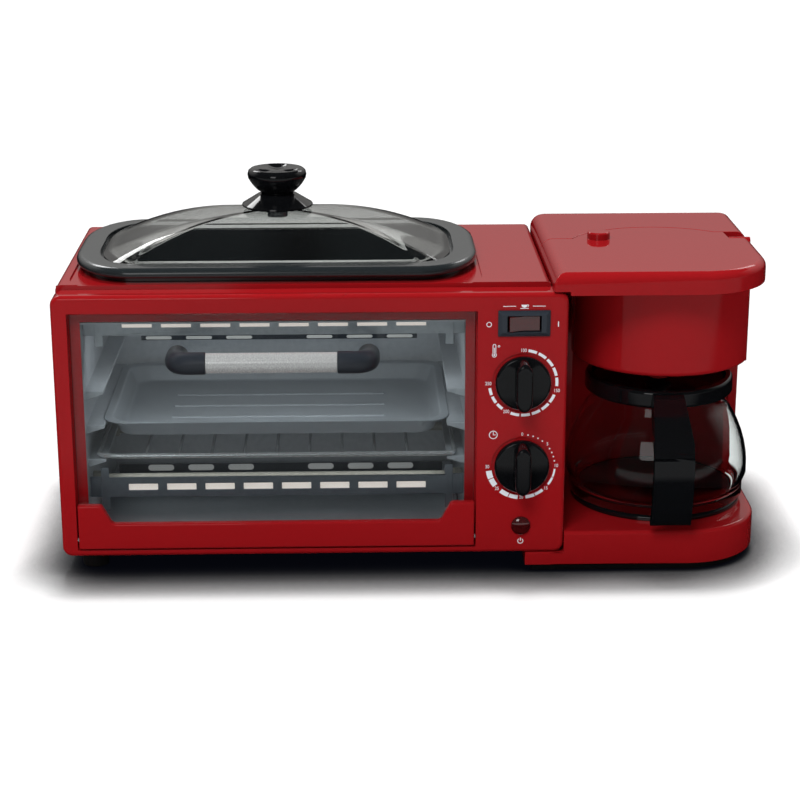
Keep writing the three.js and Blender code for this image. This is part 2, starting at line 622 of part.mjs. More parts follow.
// Cooking space: side walls with shelf ledges, back, ceiling, crumb tray, guards and heaters
function buildCavity() {
  const shelfTops = [0, 1, 2].map((i) => SHELF_FIRST + i * SHELF_PITCH)
  const wallTop = CAVITY_TOP
  const wallFoot = FRAME_FACE + FIT
  for (const [name, side] of [['left', -1], ['right', 1]]) {
    const inner = ovenX + side * CAVITY_W / 2
    const outer = inner + side * SHEET
    let wall = box(Math.min(inner, outer), Math.max(inner, outer), CAVITY_FRONT, CAVITY_BACK,
      wallFoot, wallTop)
    for (const top of shelfTops) {
      const reach = inner - side * SHELF_REACH
      const shelf = polygon([
        [inner + side * SHEET / 2, top], [reach, top], [reach, top - SHELF_H / 2],
        [inner + side * SHEET / 2, top - SHELF_H * 1.5]
      ])
      wall = join(wall, prism('Y', shelf, SHELF_FRONT, CAVITY_BACK - SHELF_H))
    }
    piece(`cavity_wall_${name}`, wall, 'steel')
  }
  let back = box(cavityLeft - SHEET, cavityRight + SHEET, CAVITY_BACK + FIT, CAVITY_BACK + FIT + SHEET,
    wallFoot, wallTop)
  for (const z of [SLOT_ROW_LOW, SLOT_ROW_HIGH]) {
    for (const place of [-3, -2, -1, 1, 2, 3]) {
      const x = ovenX + place * SLOT_PITCH
      back = cut(back, box(x - SLOT_L / 2, x + SLOT_L / 2, CAVITY_BACK, CAVITY_BACK + OVERRUN,
        z - SLOT_H / 2, z + SLOT_H / 2))
    }
  }
  piece('cavity_back', back, 'steel')
  const ceilingPlate = box(cavityLeft - SHEET, cavityRight + SHEET, CAVITY_FRONT, CAVITY_BACK + SHEET,
    wallTop + FIT, wallTop + FIT + SHEET)
  const margin = PAN_RIM_W - PAN_WALL
  const warmHole = box(cavityLeft + WARM_HOLE_INSET, cavityRight - WARM_HOLE_INSET,
    PAN_CENTRE_Y - PAN_D / 2 + margin * 2, PAN_CENTRE_Y + PAN_D / 2 - margin * 2,
    wallTop, wallTop + OVERRUN)
  piece('cavity_ceiling', cut(ceilingPlate, warmHole), 'steel')

  const trayFloor = FRAME_FACE + CRUMB_CLEAR
  const trayOuter = box(cavityLeft + RUN, cavityRight - RUN, CAVITY_FRONT + RUN, CAVITY_BACK - RUN * 2,
    trayFloor, trayFloor + CRUMB_LIP)
  const trayInner = box(cavityLeft + RUN + SHEET, cavityRight - RUN - SHEET, CAVITY_FRONT + RUN + SHEET,
    CAVITY_BACK - RUN * 2 - SHEET, trayFloor + SHEET, trayFloor + CRUMB_LIP + OVERRUN)
  piece('crumb_tray', cut(trayOuter, trayInner), 'steel')

  const slotPitch = (guardHalf - GUARD_END) * 2 / GUARD_SLOTS
  const slotHalf = slotPitch * GUARD_SLOT_SHARE / 2
  const slotFor = (i, z) => {
    const x = ovenX + (i - (GUARD_SLOTS - 1) / 2) * slotPitch
    return box(x - slotHalf, x + slotHalf, GUARD_PLANE - OVERRUN, GUARD_PLANE + OVERRUN,
      z - GUARD_SLOT_H / 2, z + GUARD_SLOT_H / 2)
  }
  const guard = (low, high, tabLow, tabHigh, slotZ) => {
    let plate = box(ovenX - guardHalf, ovenX + guardHalf, GUARD_PLANE, GUARD_PLANE + SHEET, low, high)
    for (let i = 0; i < GUARD_SLOTS; i++) plate = cut(plate, slotFor(i, slotZ))
    for (const side of [-1, 1]) {
      const near = ovenX + side * (guardHalf - SHEET)
      const far = ovenX + side * (guardHalf + GUARD_TAB)
      plate = join(plate, box(Math.min(near, far), Math.max(near, far), GUARD_PLANE, GUARD_PLANE + SHEET,
        tabLow, tabHigh))
      const wallEnd = ovenX + side * (CAVITY_W / 2 - FIT)
      const arm = [Math.min(near, wallEnd), Math.max(near, wallEnd)]
      plate = join(plate, box(...arm, GUARD_PLANE + SHEET / 2, GUARD_PLANE + SHEET * 2.5, low, high))
    }
    return plate
  }
  const upperSlot = UPPER_GUARD_LOW + GUARD_SLOT_H * 1.7
  piece('upper_heater_guard',
    guard(UPPER_GUARD_LOW, wallTop, UPPER_GUARD_TAB_LOW, wallTop, upperSlot), 'steel')
  const lowerSlot = (LOWER_GUARD_LOW + LOWER_GUARD_TOP) / 2
  piece('lower_heater_guard',
    guard(LOWER_GUARD_LOW, LOWER_GUARD_TOP, LOWER_POST_FOOT, LOWER_POST_TOP, lowerSlot), 'steel')

  const rods = {
    lower_front: [HEATER_FRONT, HEATER_LOW],
    lower_rear: [HEATER_BACK, HEATER_LOW],
    upper_front: [HEATER_FRONT, HEATER_HIGH],
    upper_rear: [HEATER_BACK, HEATER_HIGH]
  }
  for (const [name, place] of Object.entries(rods)) {
    piece(`heater_${name}`, join(
      cylinder('X', HEATER_R, cavityLeft + FIT, cavityRight - FIT, place, 12),
      cylinder('X', HEATER_R + HEATER_CLIP, cavityLeft + FIT, cavityLeft + FIT + HEATER_CLIP * 3, place, 12),
      cylinder('X', HEATER_R + HEATER_CLIP, cavityRight - FIT - HEATER_CLIP * 3, cavityRight - FIT, place, 12)
    ), 'white')
  }
}

// Door: glass, red foot rail, hinge pins and the handle
function buildDoor() {
  const left = doorLeft + RUN
  const right = doorRight - RUN
  const foot = DOOR_MARGIN_BOTTOM + RUN
  piece('door_glass',
    box(left, right, GLASS_FRONT, GLASS_FRONT + GLASS, foot + RUN, doorTop - RUN), 'clearGlass')
  const railShape = polygon([
    [left, foot], [right, foot], [right, foot + RAIL_END_H], [right - RAIL_END_W, foot + RAIL_END_H],
    [right - RAIL_END_W - RAIL_SLOPE, foot + RAIL_H], [left + RAIL_END_W + RAIL_SLOPE, foot + RAIL_H],
    [left + RAIL_END_W, foot + RAIL_END_H], [left, foot + RAIL_END_H]
  ])
  const railBack = GLASS_FRONT - FIT
  let rail = bevelledSlab('Y', railShape, RAIL_FRONT, railBack, SHEET, 'from')
  for (const [name, side, end] of [['left', -1, left], ['right', 1, right]]) {
    const inward = end - side * HINGE_PIN_DEPTH
    const wall = side < 0 ? doorLeft : doorRight
    rail = cut(rail, cylinder('X', HINGE_PIN_R + FIT, Math.min(inward, end) - (side > 0 ? FIT : OVERRUN),
      Math.max(inward, end) + (side > 0 ? OVERRUN : FIT), [HINGE_Y, HINGE_Z], 16))
    const tip = wall - side * FIT
    piece(`hinge_pin_${name}`, cylinder('X', HINGE_PIN_R, Math.min(inward, tip), Math.max(inward, tip),
      [HINGE_Y, HINGE_Z], 16), 'wire')
  }
  piece('door_rail', rail, 'red')

  const middle = ovenX
  const handleY = -HANDLE_REACH
  // along the tube in elbow runs, backwards in elbow radii, upwards in rises
  const bendShares = [[0, 0, 0], [0.5, 0.1, 0], [0.88, 0.9, 0.4], [1, 2.2, 1]]
  for (const [name, side] of [['left', -1], ['right', 1]]) {
    const start = middle + side * HANDLE_TUBE / 2
    const far = start + side * ELBOW_RUN
    const bend = bendShares.map(([run, back, rise]) => [
      start + side * ELBOW_RUN * run, handleY + ELBOW_R * back, HANDLE_Z + ELBOW_RISE * rise])
    const elbow = tube([...bend, [far, GLASS_FRONT + OVERRUN, HANDLE_Z + ELBOW_RISE * 1.5]], ELBOW_R, 8, 10)
    const beyond = start + side * FRAME_W
    const keep = box(Math.min(start, beyond), Math.max(start, beyond), handleY * 2, GLASS_FRONT - FIT,
      0, FRAME_H)
    piece(`handle_elbow_${name}`, elbow.intersect(keep), 'handleGrey')
  }
  piece('handle_tube', cylinder('X', HANDLE_R, middle - HANDLE_TUBE / 2 + FIT, middle + HANDLE_TUBE / 2 - FIT,
    [handleY, HANDLE_Z], 24), 'wire')
}

// Wire rack and baking tray, each on its own pair of shelf ledges
function buildShelves() {
  const rackZ = SHELF_FIRST + FIT + RACK_WIRE
  const left = cavityLeft + RACK_CLEAR
  const right = cavityRight - RACK_CLEAR
  const barPitch = (right - left - BAR_END * 2) / (BAR_COUNT - 1)
  const rail = (y) => cylinder('X', RACK_WIRE, left, right, [y, rackZ], 8)
  const side = (x) => cylinder('Y', RACK_WIRE, RACK_FRONT, RACK_BACK, [x, rackZ], 8)
  let rack = join(rail(RACK_FRONT + RACK_WIRE), rail(RACK_BACK - RACK_WIRE),
    side(left + RACK_WIRE), side(right - RACK_WIRE))
  for (let i = 0; i < BAR_COUNT; i++) {
    const x = left + BAR_END + i * barPitch
    rack = join(rack, cylinder('Y', BAR_WIRE, RACK_FRONT + RACK_WIRE, RACK_BACK - RACK_WIRE, [x, rackZ], 8))
  }
  piece('wire_rack', rack, 'wire')

  const rimZ = SHELF_FIRST + SHELF_PITCH + FIT + SHEET
  const middleY = (TRAY_FRONT + TRAY_BACK) / 2
  const halfW = CAVITY_W / 2 - TRAY_CLEAR
  const halfD = (TRAY_BACK - TRAY_FRONT) / 2
  const ring = (inset, z) => rectRing(ovenX, middleY, halfW - inset, halfD - inset,
    TRAY_CORNER - Math.min(inset, TRAY_CORNER / 2), z, 3)
  const outer = loft([
    ring(TRAY_TAPER, rimZ - TRAY_DEPTH - SHEET), ring(TRAY_RIM, rimZ - SHEET),
    ring(0, rimZ - SHEET), ring(0, rimZ)
  ])
  const inner = loft([
    ring(TRAY_TAPER + SHEET, rimZ - TRAY_DEPTH), ring(TRAY_RIM + SHEET, rimZ - SHEET),
    ring(TRAY_RIM + SHEET, rimZ + OVERRUN)
  ])
  let tray = cut(outer, inner)
  for (const i of [-1, 0, 1]) {
    const y = middleY + i * RIDGE_PITCH
    const floor = rimZ - TRAY_DEPTH
    tray = join(tray, box(ovenX - RIDGE_L / 2, ovenX + RIDGE_L / 2, y - RIDGE_W / 2, y + RIDGE_W / 2,
      floor - SHEET / 2, floor + RIDGE_H))
  }
  piece('baking_tray', tray, 'darkSteel')
}

// Griddle pan with its domed lid, knob, skirt and screw
function buildGriddle() {
  const x = ovenX + PAN_SHIFT_X
  const y = PAN_CENTRE_Y
  const seatZ = CASE_TOP - RECESS_DEPTH + FIT
  const rimLow = PAN_RIM_TOP - PAN_RIM_DROP
  const body = PAN_RIM_W - PAN_WALL
  const outer = loft([
    panRing(body + PAN_TAPER, PAN_FLOOR_Z - PAN_WALL), panRing(body, seatZ),
    panRing(body - PAN_SEAT, seatZ), panRing(body - PAN_SEAT, rimLow + PAN_RIM_T),
    panRing(PAN_RIM_T, rimLow + PAN_RIM_T), panRing(PAN_RIM_T, rimLow), panRing(0, rimLow),
    panRing(PAN_RIM_T / 4, PAN_RIM_TOP - PAN_RIM_T), panRing(PAN_RIM_T, PAN_RIM_TOP - PAN_RIM_T / 4),
    panRing(PAN_RIM_T * 2, PAN_RIM_TOP)
  ])
  const ledgeZ = PAN_RIM_TOP - PAN_LEDGE_DROP
  const inner = loft([
    panRing(PAN_RIM_W + PAN_LEDGE + PAN_TAPER, PAN_FLOOR_Z), panRing(PAN_RIM_W + PAN_LEDGE, ledgeZ),
    panRing(PAN_RIM_W, ledgeZ), panRing(PAN_RIM_W, PAN_RIM_TOP + OVERRUN)
  ])
  piece('griddle_pan', cut(outer, inner), 'griddle')

  const lidEdge = PAN_RIM_W + LID_CLEAR
  const lidFoot = ledgeZ + FIT
  const flatShare = 0.04
  const dome = (inset, drop) => {
    const ring = (share, z) => {
      const edge = lidEdge + inset
      const corner = [(PAN_CORNER_X - edge) * share, (PAN_CORNER_Y - edge) * share]
      return rectRing(x, y, (PAN_W / 2 - edge) * share, (PAN_D / 2 - edge) * share, corner, z)
    }
    const rings = [ring(1, lidFoot - drop)]
    for (let k = 0; k < LID_RINGS; k++) {
      const share = 1 - k / (LID_RINGS - 1) * (1 - flatShare)
      rings.push(ring(share, lidFoot + LID_T - drop + (LID_TOP - lidFoot - LID_T) * (1 - share ** LID_POWER)))
    }
    return loft(rings)
  }
  const screwHole = cylinder('Z', LID_HOLE_R, lidFoot, KNOB_TOP, [x, y], 16)
  piece('lid_glass', cut(dome(0, 0), dome(LID_T, LID_T), screwHole), 'smokedGlass')

  const skirtZ = LID_TOP + FIT
  piece('lid_knob_skirt', turned('Z', [
    [SCREW_R + FIT, skirtZ], [KNOB_FOOT_R, skirtZ], [SKIRT_R, skirtZ + SKIRT_T],
    [SKIRT_R, skirtZ + SKIRT_T * 2], [KNOB_FOOT_R, skirtZ + SKIRT_RISE],
    [SCREW_R + FIT, skirtZ + SKIRT_RISE], [SCREW_R + FIT, skirtZ]
  ], [x, y], 24), 'blackGloss')
  const stemZ = skirtZ + SKIRT_RISE + FIT
  const rise = KNOB_TOP - stemZ
  const stemShares = [0.12, 0.22] // heights where the stem starts and stops widening
  const headShares = [[0.86, 0.5], [1, 0.78], [0.98, 0.93], [0.88, 1]] // of the radius and of the rise
  const dishShare = 0.4
  piece('lid_knob', turned('Z', [
    [SCREW_R + FIT, stemZ], [KNOB_STEM_R, stemZ], [KNOB_STEM_R, stemZ + rise * stemShares[0]],
    [KNOB_NECK_R, stemZ + rise * stemShares[1]],
    ...headShares.map(([out, up]) => [KNOB_HEAD_R * out, stemZ + rise * up]),
    [KNOB_HEAD_R * dishShare, KNOB_TOP - KNOB_DISH], [0, KNOB_TOP - KNOB_DISH],
    [0, stemZ + SCREW_LENGTH / 2 + FIT], [SCREW_R + FIT, stemZ + SCREW_LENGTH / 2 + FIT],
    [SCREW_R + FIT, stemZ]
  ], [x, y], 24), 'blackGloss')
  const underZ = LID_TOP - LID_T - FIT * 3
  piece('lid_screw', turned('Z', [
    [0, underZ - SCREW_HEAD_H], [SCREW_HEAD_R, underZ - SCREW_HEAD_H], [SCREW_HEAD_R, underZ],
    [SCREW_R, underZ], [SCREW_R, stemZ + SCREW_LENGTH / 2], [0, stemZ + SCREW_LENGTH / 2]
  ], [x, y], 20), 'wire')
}

// Knobs with the thermostat and the timer behind them, the rocker switch and the lamp
function buildControls() {
  const knobFoot = -FIT
  const discShares = [[1, 0], [1, 0.6], [0.93, 1], [0, 1.2]] // of the dial's radius and base height
  const gripShare = 0.88 // the grip's length at its top, in that at its foot
  const controls = [['temperature', TEMPERATURE_Z, 'thermostat'], ['timer', TIMER_Z, 'timer_clockwork']]
  for (const [name, z, body] of controls) {
    const shaftEnd = FRAME_FACE + FIT
    const disc = turned('Y', [
      [0, knobFoot], ...discShares.map(([out, up]) => [DIAL_R * out, knobFoot - DIAL_BASE_H * up])
    ], [PANEL_X, z], 28)
    const gripEnds = turned('Y', [
      [0, knobFoot], [DIAL_R, knobFoot], [DIAL_R, knobFoot - DIAL_BASE_H],
      [DIAL_R * gripShare, knobFoot - DIAL_GRIP_H], [0, knobFoot - DIAL_GRIP_H]
    ], [PANEL_X, z], 28)
    const grip = box(PANEL_X - DIAL_GRIP_W / 2, PANEL_X + DIAL_GRIP_W / 2, knobFoot - DIAL_GRIP_H,
      knobFoot - DIAL_BASE_H / 2, z - DIAL_R, z + DIAL_R).intersect(gripEnds)
    const shaft = cylinder('Y', DIAL_SHAFT_R, knobFoot - DIAL_BASE_H / 2, shaftEnd, [PANEL_X, z], 16)
    piece(`${name}_knob`, join(disc, grip, shaft), 'blackGloss')
    const bodyFront = FRAME_FACE + FIT
    const housing = join(
      box(PANEL_X - CONTROL_BODY_W / 2, PANEL_X + CONTROL_BODY_W / 2, bodyFront, bodyFront + CONTROL_BODY_D,
        z - CONTROL_BODY_W / 2, z + CONTROL_BODY_W / 2),
      cylinder('Y', CONTROL_BUSH_R, FRAME_FACE / 2, bodyFront + SHEET, [PANEL_X, z], 16))
    const socket = cylinder('Y', DIAL_SHAFT_R + FIT, -OVERRUN, shaftEnd + FIT, [PANEL_X, z], 16)
    piece(body, cut(housing, socket), 'zinc')
  }

  const frameRing = (inset, y) => [[-1, -1], [1, -1], [1, 1], [-1, 1]].map(([sx, sz]) => [
    PANEL_X + sx * (SWITCH_W / 2 - inset), y, SWITCH_Z + sz * (SWITCH_H / 2 - inset)])
  const windowBox = (grow, y0, y1) => box(
    PANEL_X - SWITCH_WINDOW_W / 2 - grow, PANEL_X + SWITCH_WINDOW_W / 2 + grow, y0, y1,
    SWITCH_Z - SWITCH_WINDOW_H / 2 - grow, SWITCH_Z + SWITCH_WINDOW_H / 2 + grow)
  const edgeShare = 0.3 // upright edge in how far the frame stands proud
  const proud = loft([
    frameRing(0, -FIT), frameRing(0, -SWITCH_PROUD * edgeShare), frameRing(SWITCH_PROUD, -SWITCH_PROUD)
  ])
  const neck = windowBox(RUN - FIT, -FIT * 2, FRAME_FACE + FIT)
  piece('switch_frame', cut(join(proud, neck), windowBox(0, -OVERRUN, FRAME_FACE + OVERRUN)), 'blackMatte')
  const switchBack = FRAME_FACE + FIT * 2
  piece('switch_body', cut(
    windowBox(FRAME_FACE, switchBack, switchBack + SWITCH_BODY_D),
    box(PANEL_X - ROCKER_W / 2 - RUN, PANEL_X + ROCKER_W / 2 + RUN, 0, switchBack + ROCKER_DEPTH,
      SWITCH_Z - SWITCH_WINDOW_H / 2, SWITCH_Z + SWITCH_WINDOW_H / 2)), 'blackMatte')
  const endShare = 1.6 // how far the rocker's ends stand out, in crests
  const footShare = 0.3 // half of its foot, in its width
  const rockerShape = polygon([
    [-ROCKER_W / 2, -ROCKER_CREST * endShare], [0, 0], [ROCKER_W / 2, -ROCKER_CREST * endShare],
    [ROCKER_W / 2, ROCKER_CREST], [ROCKER_W * footShare, ROCKER_DEPTH], [-ROCKER_W * footShare, ROCKER_DEPTH],
    [-ROCKER_W / 2, ROCKER_CREST]
  ])
  const rockerH = SWITCH_WINDOW_H - FIT * 4
  const rocker = new THREE.ExtrudeGeometry(rockerShape, { depth: rockerH, bevelEnabled: false })
  rocker.translate(0, 0, -rockerH / 2)
  rocker.rotateZ(ROCKER_TILT)
  rocker.translate(PANEL_X, ROCKER_PIVOT_Y, SWITCH_Z)
  piece('switch_rocker', solid(rocker), 'lampRed')

  const domeShares = [[0, 1], [0.6, 0.8], [0.9, 0.44], [1, 0]] // of the lamp's radius and its dome
  const dome = domeShares.map(([out, up]) => [LAMP_R * out, -FIT - LAMP_DOME * up])
  piece('power_lamp', turned('Y', [
    ...dome, [LAMP_BODY_R, -FIT], [LAMP_BODY_R, LAMP_BODY_D], [0, LAMP_BODY_D], dome[0]
  ], [PANEL_X, LAMP_Z], 24), 'lampRed')
}

// Coffee maker body: base, plinth, hot plate, flow heater, column, tank and tank lid
function plan(left, right, front, back, corner, backCorner) {
  return roundRect(left, right, front, back, [0, corner, backCorner, backCorner / 2])
}

function buildCoffeeBody() {
  const frameClear = box(-FRAME_W / 2, FRAME_W / 2 + FIT, -OVERRUN, caseFront, -FIT, FRAME_H + FIT)
  const casingClear = box(-FRAME_W / 2, coffeeLeft, caseFront - OVERRUN, CASE_BACK + OVERRUN,
    -FIT, CASE_TOP + FIT)
  const outline = plan(coffeeLeft, COFFEE_RIGHT, 0, CASE_BACK, BASE_CORNER, BASE_BACK_CORNER)
  const shell = bevelledSlab('Z', outline, BASE_BOTTOM, BASE_TOP, BASE_BEVEL, 'to', 7)
  const tongue = box(TONGUE_LEFT, coffeeLeft + BASE_BEVEL * 2, 0, TONGUE_BACK, BASE_BOTTOM, -FIT)
  const hollowPlan = plan(coffeeLeft + MOULDED, COFFEE_RIGHT - MOULDED, MOULDED, CASE_BACK - MOULDED,
    BASE_CORNER - MOULDED, BASE_BACK_CORNER - MOULDED)
  const hollow = prism('Z', hollowPlan, BASE_BOTTOM - OVERRUN, BASE_TOP - MOULDED, { segments: 7 })
  const hollowFree = cut(hollow, box(coffeeLeft, FRAME_W / 2 + FIT + MOULDED, -OVERRUN, caseFront + MOULDED,
    BASE_BOTTOM - OVERRUN, BASE_TOP))
  const plateHole = cylinder('Z', PLATE_R - RING_W, 0, BASE_TOP + OVERRUN, [COFFEE_X, COFFEE_Y], 40)
  const base = cut(join(shell, tongue), hollowFree, frameClear, casingClear, plateHole)
  piece('coffee_base', base, 'red')

  const plinthOutline = plan(TONGUE_LEFT + PLINTH_INSET, COFFEE_RIGHT - PLINTH_INSET, PLINTH_INSET,
    CASE_BACK - PLINTH_INSET, BASE_CORNER - PLINTH_INSET, BASE_BACK_CORNER)
  piece('coffee_plinth', prism('Z', plinthOutline, floorZ, BASE_BOTTOM - FIT, { segments: 7 }), 'blackMatte')

  const plateFoot = BASE_TOP + FIT
  piece('hot_plate', turned('Z', [
    [0, plateFoot + PLATE_T - SHEET], [PLATE_R - SHEET * 2, plateFoot + PLATE_T - SHEET],
    [PLATE_R - SHEET * 2, plateFoot], [PLATE_R - FIT, plateFoot], [PLATE_R - FIT, plateTop], [0, plateTop]
  ], [COFFEE_X, COFFEE_Y], 36), 'darkSteel')
  piece('hot_plate_ring', turned('Z', [
    [PLATE_R, plateFoot], [PLATE_R + RING_W, plateFoot], [PLATE_R + RING_W, plateFoot + RING_H * 0.7],
    [PLATE_R + RING_W / 2, plateFoot + RING_H], [PLATE_R, plateFoot + RING_H], [PLATE_R, plateFoot]
  ], [COFFEE_X, COFFEE_Y], 36), 'blackGloss')
  const flowZ = plateFoot + PLATE_T - SHEET - FLOW_GAP - FLOW_R
  const flow = []
  for (let i = 0; i <= 8; i++) {
    const angle = Math.PI * (1 + i / 8)
    flow.push([COFFEE_X + FLOW_BEND_R * Math.cos(angle), COFFEE_Y + FLOW_BEND_R * Math.sin(angle), flowZ])
  }
  flow.unshift([COFFEE_X - FLOW_BEND_R, COFFEE_Y + FLOW_BEND_R, flowZ])
  flow.push([COFFEE_X + FLOW_BEND_R, COFFEE_Y + FLOW_BEND_R, flowZ])
  piece('flow_heater', tube(flow, FLOW_R, 4, 20), 'steel')

  const columnTop = CAP_BOTTOM - FIT
  const columnFoot = BASE_TOP + FIT
  const hollowed = (inset, from, to) => cut(
    prism('Z', roundRect(coffeeLeft + inset, COFFEE_RIGHT - COLUMN_INSET - inset,
      COLUMN_FRONT + inset, CASE_BACK - COLUMN_INSET - inset,
      [0, 0, COLUMN_CORNER - inset / 2, 0]), from, to),
    cylinder('Z', NICHE_R + inset, from - OVERRUN, to + OVERRUN, [COFFEE_X, COFFEE_Y], 40))
  const spoutHole = cylinder('Y', SPOUT_R + FIT, COFFEE_Y + NICHE_R - OVERRUN, COFFEE_Y + NICHE_R + OVERRUN,
    [COFFEE_X, SPOUT_Z], 16)
  const earTop = DRUM_BOTTOM - FIT
  const ear = join(
    cylinder('Z', PIN_R + MOULDED, earTop - PIN_EAR_H, earTop, [PIN_X, PIN_Y], 20),
    box(PIN_X - PIN_R - MOULDED, PIN_X + PIN_R + MOULDED, PIN_Y, COLUMN_FRONT + MOULDED,
      earTop - PIN_EAR_H, earTop))
  piece('coffee_column', cut(
    join(cut(
      hollowed(0, columnFoot, columnTop),
      hollowed(MOULDED, columnFoot - OVERRUN, columnTop + OVERRUN)), ear),
    cylinder('Z', PIN_R + FIT, earTop - PIN_EAR_H + MOULDED, earTop + OVERRUN, [PIN_X, PIN_Y], 16),
    spoutHole), 'red')

  const tankInset = MOULDED + TANK_GAP
  const tankTop = SPOUT_Z - SPOUT_R - TANK_GAP
  const tankLeft = RISER_X + SPOUT_R * 2
  const pastRiser = box(tankLeft, COFFEE_RIGHT, COLUMN_FRONT, CASE_BACK, 0, CAP_TOP)
  const pastWall = box(tankLeft + MOULDED, COFFEE_RIGHT, TANK_FRONT + MOULDED, CASE_BACK, 0, CAP_TOP)
  piece('water_tank', cut(
    hollowed(tankInset, columnFoot, tankTop).intersect(pastRiser).intersect(
      box(coffeeLeft, COFFEE_RIGHT, TANK_FRONT, CASE_BACK, 0, CAP_TOP)),
    hollowed(tankInset + MOULDED, columnFoot + MOULDED, tankTop + OVERRUN).intersect(pastWall)), 'clearGlass')
  const behindNiche = COFFEE_Y + NICHE_R + MOULDED + SPOUT_R * 2.5
  piece('riser_tube', tube([
    [RISER_X, RISER_Y, columnFoot], [RISER_X, RISER_Y, SPOUT_Z / 2],
    [RISER_X, RISER_Y, SPOUT_Z - SPOUT_R * 4], [RISER_X + SPOUT_R, RISER_Y + SPOUT_R * 2, SPOUT_Z],
    [RISER_X + SPOUT_R * 6, behindNiche, SPOUT_Z],
    [COFFEE_X - SPOUT_R * 2, behindNiche + SPOUT_R, SPOUT_Z], [COFFEE_X, behindNiche - SPOUT_R, SPOUT_Z],
    [COFFEE_X, COFFEE_Y + NICHE_R, SPOUT_Z], [COFFEE_X, COFFEE_Y + NICHE_R - SPOUT_REACH, SPOUT_Z]
  ], SPOUT_R - FIT, 4, 30), 'white')
}

// The two halves of the cap meet along a seam with a round bulge over the filter basket.
// At its right end the front half is rounded about the pin that it turns on.
function frontCapOutline(grow) {
  const seamLeft = SEAM_LEFT_Y + grow
  const bulge = BULGE_R + grow
  const cornerR = SEAM_RIGHT_Y - PIN_Y + grow
  const left = coffeeLeft - OVERRUN
  const right = COFFEE_RIGHT + OVERRUN
  const front = CAP_FRONT - OVERRUN
  const cornerStart = Math.acos((right - PIN_X) / cornerR)
  const bulgeStart = Math.asin((PIN_Y + cornerR - BULGE_Y) / bulge)
  const bulgeEnd = Math.PI - Math.asin((seamLeft - BULGE_Y) / bulge)
  const shape = new THREE.Shape()
  shape.moveTo(left, front)
  shape.lineTo(right, front)
  shape.absarc(PIN_X, PIN_Y, cornerR, cornerStart, Math.PI / 2)
  shape.absarc(BULGE_X, BULGE_Y, bulge, bulgeStart, bulgeEnd)
  shape.lineTo(left, seamLeft)
  return shape
}

function capSlab() {
  const outline = roundRect(coffeeLeft, COFFEE_RIGHT, CAP_FRONT, CAP_BACK,
    [0, CAP_CORNER, CAP_BACK_CORNER, CAP_BACK_CORNER])
  return bevelledSlab('Z', outline, CAP_BOTTOM, CAP_TOP, CAP_BEVEL, 'to', 10)
}

function seamCutter(grow) {
  return prism('Z', frontCapOutline(grow), CAP_BOTTOM - OVERRUN, CAP_TOP + OVERRUN, { segments: 12 })
}

function buildTankLid() {
  const under = box(coffeeLeft + MOULDED, COFFEE_RIGHT - MOULDED - CAP_BEVEL,
    BULGE_Y + BULGE_R + MOULDED * 1.5, CAP_BACK - MOULDED * 3, CAP_BOTTOM - OVERRUN, CAP_TOP - CAP_ROOF)
  const casingClear = box(-FRAME_W / 2, coffeeLeft, 0, CASE_BACK + OVERRUN, 0, CASE_TOP + FIT)
  const [pinY, pinZ] = [CAP_BACK - MOULDED, CAP_BOTTOM + MOULDED]
  const [pinLeft, pinRight] = [COFFEE_X - TANK_LID_PIN_W, COFFEE_X + TANK_LID_PIN_W]
  const pinHole = cylinder('X', TANK_LID_PIN_R + FIT, pinLeft, pinRight, [pinY, pinZ], 12)
  const heel = cut(
    box(coffeeLeft - OVERRUN, COFFEE_RIGHT + OVERRUN, pinY, CAP_BACK + OVERRUN, CAP_BOTTOM - OVERRUN, pinZ),
    cylinder('X', MOULDED, coffeeLeft - OVERRUN * 2, COFFEE_RIGHT + OVERRUN * 2, [pinY, pinZ], 24))
  piece('tank_lid', cut(capSlab(), seamCutter(SEAM_GAP), under, casingClear, pinHole, heel), 'red')
  piece('tank_lid_pin',
    cylinder('X', TANK_LID_PIN_R, pinLeft + FIT, pinRight - FIT, [pinY, pinZ], 12), 'wire')
}

